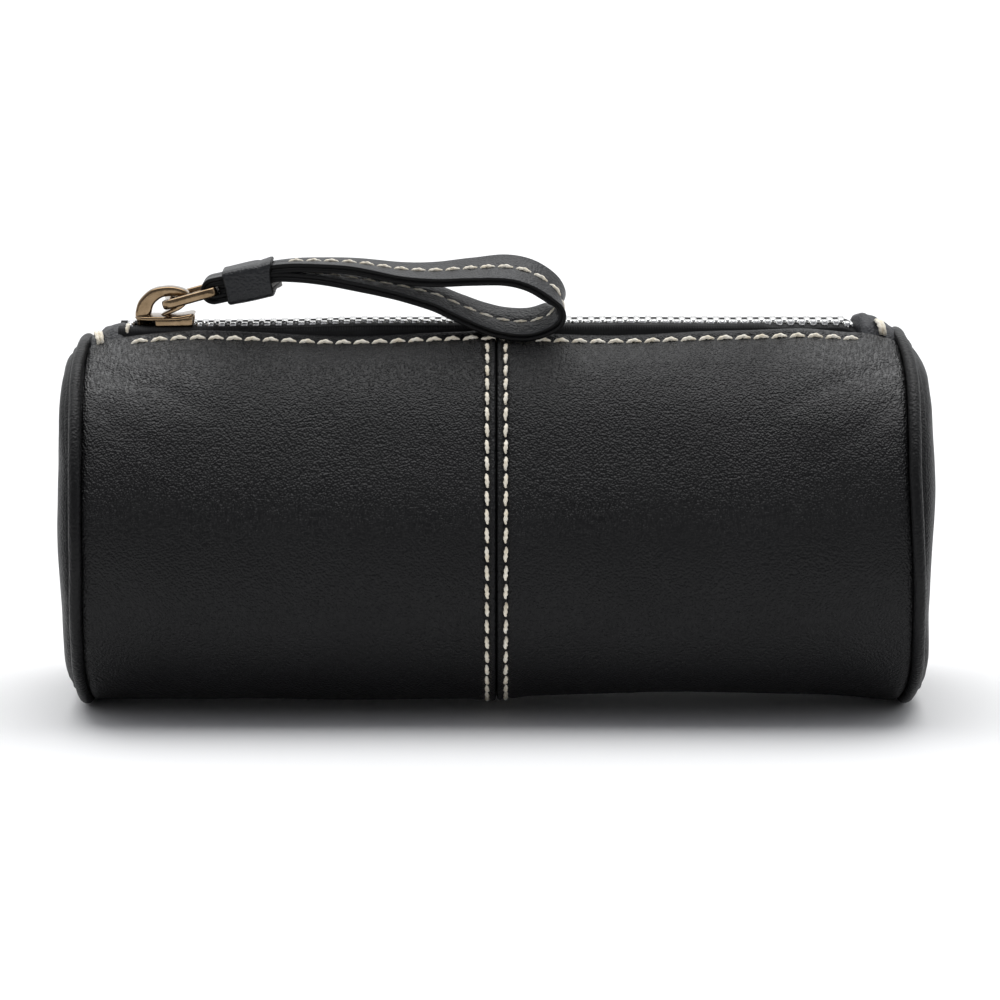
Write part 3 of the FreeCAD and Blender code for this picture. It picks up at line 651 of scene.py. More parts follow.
for side, sx in (("left", -1), ("right", 1)):
    out = Mesh()
    rows = []
    n = 300
    for i, (y, z, a) in enumerate(ring_outline(n, PIPE_IN)):
        sg = 1.0 if y >= 0 else -1.0
        ny, nzv = sg * cos(a), sin(a)
        if abs(y) < 1e-6:
            ny = 0.0
        u = -R_TOP + 2 * R_TOP * i / n
        wob = 0.10 * nz(u / 9.0, sx * 7.0) + 0.05 * nz(u / 3.2, sx * 3.0)
        wx = 0.16 * nz(u / 14.0, sx * 11.0)
        row = []
        for k in range(18):
            t = 2 * pi * k / 18
            rr = PIPE_R + 0.035 * nz(u / 1.7, k / 3.0, sx)
            p = (sx * PIPE_X + wx + rr * cos(t), y + ny * (wob + rr * sin(t)), z + nzv * (wob + rr * sin(t)))
            p = (p[0], p[1], max(p[2], 0.0))
            row.append(end_warp(p))
        rows.append(row)
    out.loops(rows, closed=True)
    out.make("piping_" + side, M_PIPING, body="case", slot="black_leather", replaces=(side + "_piping",))

    # domed end: rings of points from the piping to the crown
    def dome_pt(u, f, depth):
        """f runs from 0 at the rim to 1 at the middle."""
        y, z, a = ring_point(u, 2.15)
        cy, cz = 0.0, 38.5
        q = 1 - f
        py, pz = cy + (y - cy) * q, cz + (z - cz) * q
        edge = math.hypot(y - py, z - pz)
        if sx > 0:
            full = 3.15 + 0.85 * smooth(30.0, 50.0, pz) + 0.3 * smooth(60.0, 68.0, pz) - 2.6 * smooth(71.0, 79.0, pz) + 0.6 * (1 - smooth(12.0, 24.0, pz))
            turn = 12 + 4 * smooth(55.0, 70.0, pz) + 18 * (1 - smooth(8.0, 25.0, pz))
        else:
            full = 3.75 + 0.55 * smooth(25.0, 45.0, pz) + 0.35 * smooth(60.0, 72.0, pz)
            turn = 12 + 12 * smooth(55.0, 70.0, pz) + 8 * (1 - smooth(8.0, 25.0, pz))
        x = 89.0 + full * (1 - q ** turn)                                    # padded flat, turned in tightly
        x += (0.75 - (0.65 * smooth(66.0, 76.0, pz) if sx > 0 else 0.0)) * bump(edge, 0.75, 0.42) - 0.30 * bump(edge, 1.7, 0.55)  # lip of the turned edge
        x += 0.45 * nz(py / 22.0, pz / 22.0, sx * 9.0) * min(1.0, edge / 8.0)
        x += 0.14 * nz(py / 6.0, pz / 6.0, sx * 5.0) * exp(-(edge / 9.0))
        x -= 0.10 * nz(u / 2.4, sx) * exp(-((edge - 1.2) / 2.0) ** 2)
        x -= depth
        return end_warp((sx * x, py, pz), 0.0)

    n = 240
    us = [-R_TOP + 2 * R_TOP * i / n for i in range(n)]
    fs = [0.0, 0.006, 0.011, 0.015, 0.019, 0.023, 0.027, 0.032, 0.038, 0.045, 0.052, 0.06, 0.08, 0.1, 0.125, 0.15, 0.18, 0.22, 0.27, 0.33, 0.4, 0.48, 0.57, 0.67, 0.78, 0.88, 0.95]
    for what, d0, d1, mat, sl, rep in (("end_panel_", 0.0, 1.3, M_END, "black_leather", "_end_panel"),
                                       ("end_lining_", 1.5, 2.0, M_LINING, "lining_cloth", "_end_lining")):
        v, f = [], []
        for d in (d0, d1):
            for fr in fs:
                v.extend(dome_pt(u, max(fr, 0.006 if d0 > 1 else 0.0), d) for u in us)
            v.append(dome_pt(0.0, 1.0, d))
        m = len(fs)
        blk = m * n + 1
        for b in (0, blk):
            for r in range(m - 1):
                for k in range(n):
                    k2 = (k + 1) % n
                    f.append((b + r * n + k, b + r * n + k2, b + (r + 1) * n + k2, b + (r + 1) * n + k))
            for k in range(n):
                f.append((b + (m - 1) * n + k, b + (m - 1) * n + (k + 1) % n, b + m * n))
        for k in range(n):
            k2 = (k + 1) % n
            f.append((k, k2, blk + k2, blk + k))
        make(what + side, v, f, mat, body="case", slot=sl, replaces=(side + rep,))

    core = Mesh()
    rows = []
    n = 150
    for i, (y, z, a) in enumerate(ring_outline(n, PIPE_IN)):
        sg = 1.0 if y >= 0 else -1.0
        ny, nzv = (0.0 if abs(y) < 1e-6 else sg * cos(a)), sin(a)
        u = -R_TOP + 2 * R_TOP * i / n
        row = []
        for k in range(10):
            t = 2 * pi * k / 10
            rr = 0.66 * (1 + 0.12 * cos(3 * (t - u / 1.1)))
            row.append(end_warp((sx * PIPE_X + rr * cos(t), y + ny * rr * sin(t), z + nzv * rr * sin(t))))
        rows.append(row)
    core.loops(rows, closed=True)
    core.make("piping_core_" + side, M_CORD, body="case", slot="cord_core", replaces=(side + "_piping_cord",))


# ----------------------------------------------------------------------------
# zip
# ----------------------------------------------------------------------------
def chain_z(x):
    return CHAIN_Z + 0.16 * nz(x / 19.0, 2.0) * smooth(-66, -50, x) - 0.7 * (1 - smooth(-66, -18, x)) - 1.7 * smooth(74.5, 80.0, x)


def tape_rows(sg, xs):
    rows = []
    for x in xs:
        e0, _ = skin(sg, LEN[sg] - 3.2, x, 1.75, False)
        e1, _ = skin(sg, LEN[sg] - 0.6, x, 1.75, False)
        zc = chain_z(x)
        b = 1.0 if sg > 0 else 0.0
        w = smooth(57.0, 62.0, x) if sg < 0 else 0.0
        key = [(abs(e0[1]), e0[2]), (abs(e1[1]), e1[2]), (6.5, e1[2] + 0.55), (5.7, zc - 0.55), (4.7, zc - 0.08 + 0.3 * b - 0.75 * w), (3.4, zc + 0.05 + 0.42 * b - 0.62 * w), (1.9, zc + 0.03 - 0.3 * w)]
        pts = []
        for i in range(len(key) - 1):
            a = key[max(i - 1, 0)]
            b, c = key[i], key[i + 1]
            dd = key[min(i + 2, len(key) - 1)]
            for k in range(4):
                t = k / 4
                pts.append(tuple(0.5 * (2 * q + (r - p) * t + (2 * p - 5 * q + 4 * r - w) * t * t + (3 * q - p - 3 * r + w) * t ** 3)
                                 for p, q, r, w in zip(a, b, c, dd)))
        pts.append(key[-1])
        top = [(x, sg * y, z + 0.22) for y, z in pts]
        bot = [(x, sg * y, z - 0.22) for y, z in reversed(pts)]
        rows.append(top + bot)
    return rows


def strip(name, rows, mat, **kw):
    out = Mesh()
    m = len(rows[0])
    for r in rows:
        out.v.extend(r)
    for i in range(len(rows) - 1):
        a, b = i * m, (i + 1) * m
        for k in range(m):
            k2 = (k + 1) % m
            out.f.append((a + k, a + k2, b + k2, b + k))
    for i in (0, len(rows) - 1):
        c = i * m
        for k in range(m // 2 - 1):
            out.f.append((c + k, c + k + 1, c + m - 2 - k, c + m - 1 - k))
    out.fm = [0] * len(out.f)
    return out.make(name, mat, **kw)


TX = [i * 0.9 for i in range(0, 92)]
TX[0] = 0.02
strip("zip_tape_front", tape_rows(-1, neg(TX) + TX), M_TAPE, body="case", slot="zip_tape", replaces=("front_zip_tape",))
strip("zip_tape_back_left", tape_rows(1, neg(TX)), M_TAPE, blend=-1, slot="zip_tape", replaces=("back_zip_tape",))
strip("zip_tape_back_right", tape_rows(1, TX), M_TAPE, blend=1, slot="zip_tape", replaces=("back_zip_tape",))


def tooth_shape(w):
    """One cast tooth, in (x, y, z) with its nose towards +y: two legs that
    grip the tape, a shoulder and a rounded head with a dimple."""
    bm = bmesh.new()
    prof = [(-3.4, -0.75), (-3.15, -0.95), (-0.9, -0.95), (-0.2, -0.8), (0.45, -0.65), (0.62, -0.35),
            (0.62, 0.35), (0.45, 0.65), (-0.2, 0.8), (-0.9, 0.95), (-3.15, 0.95), (-3.4, 0.75)]
    a = [bm.verts.new((-w / 2, y, z)) for y, z in prof]
    b = [bm.verts.new((w / 2, y, z)) for y, z in prof]
    bm.faces.new(a)
    bm.faces.new(list(reversed(b)))
    for i in range(len(prof)):
        j = (i + 1) % len(prof)
        bm.faces.new((a[j], a[i], b[i], b[j]))
    edges = [e for e in bm.edges if len(e.link_faces) == 2 and e.calc_face_angle(0) > 0.9]
    bmesh.ops.bevel(bm, geom=edges, offset=0.17, segments=2, affect="EDGES", profile=0.6)
    bm.verts.index_update()
    v = [tuple(q.co) for q in bm.verts]
    f = [tuple(q.index for q in fc.verts) for fc in bm.faces]
    bm.free()
    return v, f


TV, TF = tooth_shape(1.25)


def teeth(name, sg, xs, **kw):
    out = Mesh()
    for x in xs:
        base = len(out.v)
        c = chain_z(x) + 0.12 * sg
        tip = 0.04 * nz(x * 3.3, sg * 5.0)
        for vx, vy, vz in TV:
            out.v.append((x + vx + tip * vy * 0.3, -sg * vy, c + vz))
        out.f.extend(tuple(base + i for i in q) for q in TF)
    out.fm = [0] * len(out.f)
    return out.make(name, M_TEETH, slot="zip_metal", **kw)


FT = [-72.0 + i * PITCH for i in range(61)]
BT = [x + PITCH / 2 for x in FT]
teeth("zip_teeth_front", -1, FT, body="case", replaces=("front_zip_teeth",))
teeth("zip_teeth_back_left", 1, [x for x in BT if x < 0], blend=-1, replaces=("back_zip_teeth",))
teeth("zip_teeth_back_right", 1, [x for x in BT if x > 0], blend=1, replaces=("back_zip_teeth",))


def stop_piece(name, sg, **kw):
    out = Mesh()
    for vx, vy, vz in TV:
        out.v.append((-79.6 + vx * 1.2, -sg * (vy * 0.62 - 1.6), chain_z(-79.6) - 0.1 + vz * 0.9))
    out.f = list(TF)
    out.fm = [0] * len(out.f)
    return out.make(name, M_TEETH, slot="zip_metal", **kw)


stop_piece("top_stop_front", -1, body="case", replaces=("front_top_stop",))
stop_piece("top_stop_back", 1, blend=-1, replaces=("back_top_stop",))


def dress(name, mat, bevel=None):
    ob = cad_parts[name]
    ob.data.materials.clear()
    ob.data.materials.append(mat)
    for p in ob.data.polygons:
        p.use_smooth = True
    if bevel:
        md = ob.modifiers.new("edge", "BEVEL")
        md.width = bevel * MM
        md.segments = 3
        md.limit_method = "ANGLE"
        md.angle_limit = rad(35)
        md.harden_normals = True
    return ob


dress("bottom_stop", M_TEETH, 0.25)


def power(t, e):
    """A point of a rounded rectangle by angle, in (-1..1, -1..1)."""
    c, s_ = cos(t), sin(t)
    return math.copysign(abs(c) ** (2.0 / e), c), math.copysign(abs(s_) ** (2.0 / e), s_)


def spline(points, n):
    p = [tuple(2 * a - b for a, b in zip(points[0], points[1]))] + list(points) + [tuple(2 * a - b for a, b in zip(points[-1], points[-2]))]
    res = []
    for i in range(1, len(p) - 2):
        for k in range(n):
            t = k / n
            res.append(tuple(0.5 * (2 * b + (c - a) * t + (2 * a - 5 * b + 4 * c - d) * t * t + (3 * b - a - 3 * c + d) * t ** 3)
                             for a, b, c, d in zip(p[i - 1], p[i], p[i + 1], p[i + 2])))
    res.append(points[-1])
    return res


def slider():
    """Two plates joined by a neck at the nose, with flanges that close in on
    the joined chain; the upper plate flares up at its mouth."""
    out = Mesh()
    cx, n = -72.0, 88

    def plate(hx, hy, rows, lip, roof=0.0):
        loops_ = []
        for z, d in rows:
            row = []
            for k in range(n):
                a, b = power(2 * pi * k / n, 7.0)
                x = cx + (hx - d) * a
                nose = 1 - 0.22 * smooth(-75.2, -78.6, x)
                ends = 0.9 * max(0.0, roof - z) * smooth(4.9, 6.0, abs(x - cx))
                row.append((x, (hy - d) * b * nose, z + ends + lip * smooth(-70.6, -65.6, x) ** 1.5))
            loops_.append(row)
        out.loops(loops_)
    plate(6.5, 4.6, [(83.68, 4.2), (83.68, 2.0), (83.66, 1.0), (83.5, 0.88), (83.16, 0.8), (83.1, 0.6), (83.1, 0.4), (83.16, 0.16), (83.3, 0.02), (83.5, 0.0), (83.75, 0.0), (83.92, 0.08), (84.02, 0.24), (84.08, 0.5),
                     (84.12, 1.0), (84.2, 2.0), (84.26, 3.0), (84.28, 4.2)], 0.62, 83.7)
    plate(6.3, 4.4, [(79.75, 4.0), (79.75, 2.0), (79.77, 0.7), (79.85, 0.25), (80.05, 0.0), (80.35, 0.0), (80.5, 0.1), (80.55, 0.4), (80.55, 4.0)], 0.0)
    for sg in (-1, 1):
        rows = []
        for x, k in ((-73.9, 0.55), (-73.8, 0.8), (-73.55, 0.96), (-73.0, 1.0), (-71.0, 1.0), (-69.0, 1.0), (-67.2, 1.0), (-66.3, 0.97), (-66.0, 0.85), (-65.85, 0.6)):
            row = []
            for j in range(24):
                a, b = power(2 * pi * j / 24, 4.5)
                up = 0.5 * smooth(-70.6, -65.6, x) ** 1.5
                row.append((x, sg * (4.1 + 0.5 * a * k), 82.72 + 0.82 * b * (0.75 + 0.25 * k) + up * (b > 0)))
            rows.append(row)
        out.loops(rows)
        rows = []
        for x, k in ((-73.8, 0.7), (-73.4, 1.0), (-70.0, 1.0), (-66.6, 1.0), (-66.2, 0.7)):
            rows.append([(x, sg * (4.0 + 0.4 * power(2 * pi * j / 16, 4.0)[0] * k), 80.65 + 0.42 * power(2 * pi * j / 16, 4.0)[1] * k) for j in range(16)])
        out.loops(rows)
    rows = []
    for z, r in ((80.3, 1.5), (80.7, 1.25), (81.2, 1.15), (82.4, 1.15), (82.9, 1.25), (83.3, 1.5)):
        rows.append([(-77.0 + r * cos(2 * pi * j / 24) * (1.0 if cos(2 * pi * j / 24) < 0 else 1.7), r * sin(2 * pi * j / 24), z) for j in range(24)])
    out.loops(rows)
    return out.make("slider_shell", M_SLIDER, body="slider", slot="slider_metal", replaces=("slider_body",))


slider()


def bail():
    """A flat arched band that stands on the slider: a broad front leg, a low
    crown and a rear leg that tucks in under it."""
    outer = spline([(-78.5, 83.75), (-78.35, 85.3), (-77.5, 87.5), (-74.9, 89.75), (-71.0, 90.42), (-67.9, 89.8), (-66.5, 88.5), (-66.9, 87.0), (-68.6, 85.4), (-71.0, 84.3), (-71.8, 83.85)], 7)
    inner = spline([(-75.3, 83.75), (-74.95, 84.7), (-74.4, 86.4), (-72.8, 87.85), (-71.0, 88.25), (-69.6, 88.1), (-69.0, 87.5), (-69.2, 86.8), (-70.2, 85.8), (-72.4, 84.7), (-73.2, 84.0)], 7)
    out = Mesh()
    rows = []
    for (xo, zo), (xi, zi) in zip(outer, inner):
        row = []
        for j in range(40):
            a, b = power(2 * pi * j / 40, 5.5)
            f = 0.5 + 0.5 * a
            row.append((xi + (xo - xi) * f, 1.95 * b, zi + (zo - zi) * f))
        rows.append(row)
    out.loops(rows)
    return out.make("bail_band", M_SLIDER, body="slider", slot="slider_metal", replaces=("slider_bail",))


bail()


def pull():
    """An oblong ring of drawn wire, a little flattened along its two sides."""
    ca, sa = cos(rad(15.5)), sin(rad(15.5))
    hw, c, L = 6.5, 1.2, 10.7
    path = []
    for (uc, yc, a0) in ((c, -hw + c, 180), (L - c, -hw + c, 270), (L - c, hw - c, 0), (c, hw - c, 90)):
        for k in range(9):
            t = rad(a0 + 90 * k / 8)
            path.append((uc + c * cos(t), yc + c * sin(t)))
    dense = []
    for i, p in enumerate(path):
        q = path[(i + 1) % len(path)]
        m = max(1, int(math.dist(p, q) / 0.8))
        dense += [(p[0] + (q[0] - p[0]) * k / m, p[1] + (q[1] - p[1]) * k / m) for k in range(m)]
    out = Mesh()
    rows = []
    n = len(dense)
    for i, (u, y) in enumerate(dense):
        a, b = dense[i - 1], dense[(i + 1) % n]
        tu, ty = b[0] - a[0], b[1] - a[1]
        l = math.hypot(tu, ty)
        nu, ny = ty / l, -tu / l
        k = smooth(3.6, 5.6, abs(y))
        row = []
        for j in range(24):
            p, q = power(2 * pi * j / 24, 2.0 + 1.2 * k)
            du, dy, dh = 0.82 * p * nu, 0.82 * p * ny, (0.84 + 0.2 * k) * q
            uu = u + du
            row.append((-71.5 + uu * ca - dh * sa, y + dy, 86.9 + uu * sa + dh * ca))
        rows.append(row)
    out.loops(rows, closed=True)
    return out.make("pull_wire", M_SLIDER, body="ring", slot="slider_metal", replaces=("pull_ring",))


pull()


# ----------------------------------------------------------------------------
# threads on the barrel
# ----------------------------------------------------------------------------
def row_along_x(out, sg, e, xs, r=0.41):
    for i, x in enumerate(xs):
        L = 3.3 + 0.12 * nz(x * 1.7, sg * 2.0)
        sl = 0.16 + 0.06 * nz(x * 2.3, 4.0)
        pts, nr = [], []
        for k in range(5):
            t = k / 4
            p, nn = skin(sg, LEN[sg] - e + sl * (t - 0.5) * 2, x + (t - 0.5) * L, 0.0, True)
            pts.append(p)
            nr.append(nn)
        stitch(out, pts, nr, r, 0.36, 0.42)


def row_down(out, sg, x, s0, s1, r=0.42, lean=1.0):
    n = int(round((s1 - s0) / 3.95))
    for i in range(n):
        c = s0 + (i + 0.5) * (s1 - s0) / n
        L = 3.2 + 0.12 * nz(c * 1.3, x)
        sl = (0.13 + 0.05 * nz(c, x * 2)) * lean
        pts, nr = [], []
        for k in range(5):
            t = k / 4
            p, nn = skin(sg, c + (t - 0.5) * L, x + sl * (t - 0.5) * 2, 0.0, True)
            pts.append(p)
            nr.append(nn)
        stitch(out, pts, nr, r, 0.38, 0.42)


TOPX = [-76.2 + 3.92 * i for i in range(40)]
out = Mesh()
row_along_x(out, -1, 3.3, TOPX)
out.make("topstitch_front", M_THREAD, body="case", slot="ivory_thread", replaces=("front_topstitch",))
for side, sx in (("left", -1), ("right", 1)):
    out = Mesh()
    row_along_x(out, 1, 3.3, [x for x in TOPX if x * sx > 0])
    out.make("topstitch_back_" + side, M_THREAD, blend=sx, slot="ivory_thread", replaces=("back_topstitch",))
    out = Mesh()
    row_down(out, -1, sx * 1.98, 1.5, LEN[-1] - 4.6, lean=sx)
    out.make("seam_stitch_front_" + side, M_THREAD, body="case", slot="ivory_thread", replaces=("front_seam_stitch_" + side,))
    out = Mesh()
    row_down(out, 1, sx * 1.98, 1.0, LEN[1] - 4.6, lean=-sx)
    out.make("seam_stitch_back_" + side, M_THREAD, blend=sx, slot="ivory_thread", replaces=("back_seam_stitch_" + side,))


# ----------------------------------------------------------------------------
# folded tabs over the zip's ends, and the threads that tack them
# ----------------------------------------------------------------------------
def tab(side, sx):
    prof = [(-7.9, 78.6), (-7.3, 80.0), (-6.0, 81.3), (-4.4, 82.2), (-2.4, 82.8), (0.0, 83.0), (2.4, 82.8), (4.4, 82.2),
            (6.0, 81.3), (7.0, 79.6), (4.0, 78.4), (0.0, 78.2), (-4.0, 78.2)]
    x1 = 88.2 if sx < 0 else 87.7
    tack = 86.0 if sx < 0 else 83.0
    out = Mesh()
    rows = []
    n = 34
    for i in range(n + 1):
        t = i / n
        row = []
        m = len(prof)
        for j in range(m * 3):
            f = j / 3
            a = int(f)
            g = f - a
            p0, p1, p2, p3 = (prof[(a + q) % m] for q in (-1, 0, 1, 2))
            y, z = (0.5 * (2 * b + (c - a_) * g + (2 * a_ - 5 * b + 4 * c - d) * g * g + (3 * b - a_ - 3 * c + d) * g ** 3)
                    for a_, b, c, d in zip(p0, p1, p2, p3))
            cy, cz = 0.0, 80.4
            x0 = 80.1 if sx < 0 else 78.6 - 1.6 * smooth(-5.5, 1.0, y)
            x = x0 + (x1 - x0) * t
            edge = min(x - x0, x1 - x)
            k = math.sqrt(max(0.0, 1 - max(0.0, 1 - edge / 1.5) ** 2))
            drop = (0.3 + 2.6 * smooth(82.3, 89.0, x)) if sx < 0 else 3.0 * smooth(80.8, 88.0, x) - 0.5 * bump(x, 79.6, 1.7)
            drop += 0.4 * bump(x, tack, 0.7)
            top = smooth(79.4, 81.2, z)
            h = 0.3 * nz(x / 2.4, y / 2.8, sx * 3.0) - 0.22 * bump(x, x0 + 3.4 + 0.5 * nz(y / 3.0, 1.0), 0.8)
            ky = 0.86 + 0.14 * k
            yy, zz = cy + (y - cy) * ky, cz + (z - cz) * (0.62 + 0.38 * k) + h * k * top - drop
            row.append(end_warp((sx * x, yy, zz), 0.0))
        rows.append(row)
    out.loops(rows)
    return out.make("zip_tab_" + side, M_TAB, body="case", slot="black_leather", replaces=(side + "_zip_tab",))


tab("left", -1)
tab("right", 1)


def tacks(side, sx):
    """Whip stitches that hold a tab down to the seam beside the piping."""
    out = Mesh()
    runs = [((-85.9, -8.6, 79.0), (-86.9, -4.6, 80.7), 0.46), ((-85.1, -8.5, 79.1), (-86.0, -4.6, 80.9), 0.46),
            ((-80.0, -5.8, 80.9), (-79.7, -3.7, 82.1), 0.42)]
    if sx > 0:
        runs = [((83.2, -6.9, 81.3), (82.2, -3.6, 83.3), 0.46), ((84.0, -6.9, 81.1), (83.1, -3.5, 83.1), 0.46)]
    for a, b, r in runs:
        path = []
        for i in range(13):
            t = i / 12
            lift = 0.75 * sin(pi * t) ** 0.7 - 0.9 * (max(0.0, 1 - t / 0.14) ** 2 + max(0.0, (t - 0.86) / 0.14) ** 2)
            path.append((a[0] + (b[0] - a[0]) * t, a[1] + (b[1] - a[1]) * t - 0.55 * lift, a[2] + (b[2] - a[2]) * t + 0.83 * lift))
        twist_tube(out, path, r, (0, -0.55, 0.83), turns=1.6, taper=0.75)
    return out.make("tack_stitch_" + side, M_THREAD, body="case", slot="ivory_thread", replaces=(side + "_tack_stitch",))


tacks("left", -1)
tacks("right", 1)

# ----------------------------------------------------------------------------
# strap
# ----------------------------------------------------------------------------
CA, SA = cos(rad(15.5)), sin(rad(15.5))
BX, BZ = -71.5 + 10.7 * CA, 86.9 + 10.7 * SA
CT, ST = cos(rad(12.0)), sin(rad(12.0))
FOLD_R = 1.875


def keep_pt(u, m, y=0.0):
    return (BX + u * CT - m * ST, y, BZ + u * ST + m * CT)


LOOP = [
    (-41.03, -0.3, 95.0, 1.5), (-30.96, -1.2, 94.75, 5.0), (-20.9, -2.8, 93.55, 11.4),
    (-13.46, -4.3, 93.4, 15.6), (-5.8, -5.8, 94.1, 20.0), (1.64, -7.2, 94.65, 25.5),
    (6.9, -7.8, 93.65, 28.0), (11.2, -8.1, 91.1, 29.0), (13.3, -8.2, 88.2, 29.0),
    (13.0, -8.2, 85.7, 29.0), (10.6, -8.2, 84.0, 29.0), (6.67, -8.2, 82.95, 29.0),
    (1.64, -7.9, 83.2, 27.0), (-3.39, -7.2, 84.5, 24.0), (-8.42, -6.4, 86.45, 21.0),
    (-13.46, -5.2, 88.4, 17.0), (-20.9, -3.2, 89.95, 11.0), (-30.96, -1.3, 91.4, 4.5),
    (-38.62, -0.4, 92.3, 1.0),
]


def catmull(p, n):
    res = []
    for i in range(1, len(p) - 2):
        for k in range(n):
            t = k / n
            res.append(tuple(0.5 * (2 * b + (c - a) * t + (2 * a - 5 * b + 4 * c - d) * t * t + (3 * b - a - 3 * c + d) * t ** 3)
                             for a, b, c, d in zip(p[i - 1], p[i], p[i + 1], p[i + 2])))
    res.append(p[-2])
    return res


def strap_line():
    tail = [keep_pt(14.2 - 7.2 * i / 8, -FOLD_R) + (0.0,) for i in range(9)] + [keep_pt(u, -FOLD_R) + (0.0,) for u in (5.0, 3.0, 1.2)]
    fold = [keep_pt(-FOLD_R * cos(rad(a)), FOLD_R * sin(rad(a))) + (0.0,) for a in range(-90, 91, 9)]
    ctrl = ([keep_pt(u, FOLD_R) + (0.0,) for u in (6.0, 9.5, 14.5)] + LOOP + [keep_pt(u, 0.0) + (0.0,) for u in (14.5, 10.0, 6.0)])
    loop = catmull(ctrl, 9)
    pre = [keep_pt(u, FOLD_R) + (0.0,) for u in (1.5, 3.5, 5.5, 7.5)]
    post = [keep_pt(u, 0.0) + (0.0,) for u in (8.0, 6.0, 4.2, 2.6, 1.15)]
    return tail + fold + pre + loop + post, len(tail) + len(fold) + len(pre)


line, first = strap_line()
frames = []
for i, p in enumerate(line):
    a, b = line[max(i - 1, 0)], line[min(i + 1, len(line) - 1)]
    t = unit(vsub(b, a))
    w = (0.0, cos(rad(p[3])), sin(rad(p[3])))
    w = unit(vadd(w, t, -dot(w, t)))
    frames.append((p[:3], w, cross(t, w)))


def ply(name, sgn, rep):
    """One ply with a crowned face, a pressed stitch channel and a round edge."""
    ws = [-5.0, -5.0, -4.97, -4.86, -4.6, -3.4, -2.2, -1.2, -0.75, -0.4, 0.0, 0.4, 0.75, 1.2, 2.2, 3.4, 4.6, 4.86, 4.97, 5.0, 5.0]
    hs = [0.03, 0.7, 0.88, 0.97, 1.0, 1.0, 1.0, 0.99, 0.93, 0.85, 0.82, 0.85, 0.93, 0.99, 1.0, 1.0, 1.0, 0.97, 0.88, 0.7, 0.03]
    out = Mesh()
    rows = []
    dist = 0.0
    for i, (p, w, n) in enumerate(frames):
        if i:
            dist += math.dist(p, frames[i - 1][0])
        row = []
        for wv, h in zip(ws, hs):
            q = wv * (1 + 0.006 * nz(dist / 5.0, wv))
            hh = h + 0.05 * nz(dist / 6.0, wv / 3.0, sgn * 2.0) * (1 if h > 0.3 else 0)
            row.append(vadd(vadd(vadd(p, w, q), n, sgn * hh), cross(w, n), max(0.0, 0.18 * (5 - wv) + 0.02 * i - dist)))
        for wv in (3.4, 0.0, -3.4):
            row.append(vadd(vadd(vadd(p, w, wv), n, sgn * 0.03), cross(w, n), max(0.0, 0.18 * (5 - wv) + 0.02 * i - dist)))
        rows.append(row)
    out.loops(rows)
    m = len(rows[0])
    nf = (len(rows) - 1) * m
    for k in range(nf):
        j = k % m
        out.fm[k] = 1 if (j in (0, 1, 2, 17, 18, 19)) else 0
    for k in range(nf, len(out.f)):
        out.fm[k] = 2
    return out.make(name, M_STRAP, mats=[M_STRAP, M_EDGE, M_RAW], body="strap", slot="strap_leather", replaces=(rep,))


ply("strap_ply_outer", 1, "strap_outer_ply")
ply("strap_ply_inner", -1, "strap_inner_ply")


def strap_stitches():
    out = Mesh()
    # lengths along the line past the keeper
    acc = [0.0]
    for i in range(1, len(frames)):
        acc.append(acc[-1] + math.dist(frames[i][0], frames[i - 1][0]))

    def at(d):
        k = 0
        lo, hi = 0, len(acc) - 1
        while hi - lo > 1:
            mid = (lo + hi) // 2
            if acc[mid] <= d:
                lo = mid
            else:
                hi = mid
        f = (d - acc[lo]) / ((acc[hi] - acc[lo]) or 1.0)
        p = tuple(a + (b - a) * f for a, b in zip(frames[lo][0], frames[hi][0]))
        n = unit(tuple(a + (b - a) * f for a, b in zip(frames[lo][2], frames[hi][2])))
        w = unit(tuple(a + (b - a) * f for a, b in zip(frames[lo][1], frames[hi][1])))
        return p, n, w
    start = next(acc[i] for i in range(first, len(frames)) if frames[i][0][0] > -46.6)
    stop = next(acc[i] for i in range(len(frames) - 1, 0, -1) if frames[i][0][0] > -46.6)
    for face, h, r in ((1, 0.84, 0.36), (-1, 0.84, 0.28)):
        d = start + (1.0 if face > 0 else 2.9)
        i = 0
        while d + 3.4 < stop:
            pts, nr = [], []
            for k in range(5):
                p, n, w = at(d + 3.25 * k / 4)
                n = tuple(c * face for c in n)
                pts.append(vadd(vadd(p, n, h), w, 0.12 * (k / 2 - 1) * face))
                nr.append(n)
            stitch(out, pts, nr, r, 0.22 if face > 0 else 0.1, 0.36)
            d += 3.85 + 0.1 * nz(i * 1.3, face)
            i += 1
    return out.make("strap_stitches", M_THREAD, body="strap", slot="ivory_thread", replaces=("strap_stitching",))


strap_stitches()


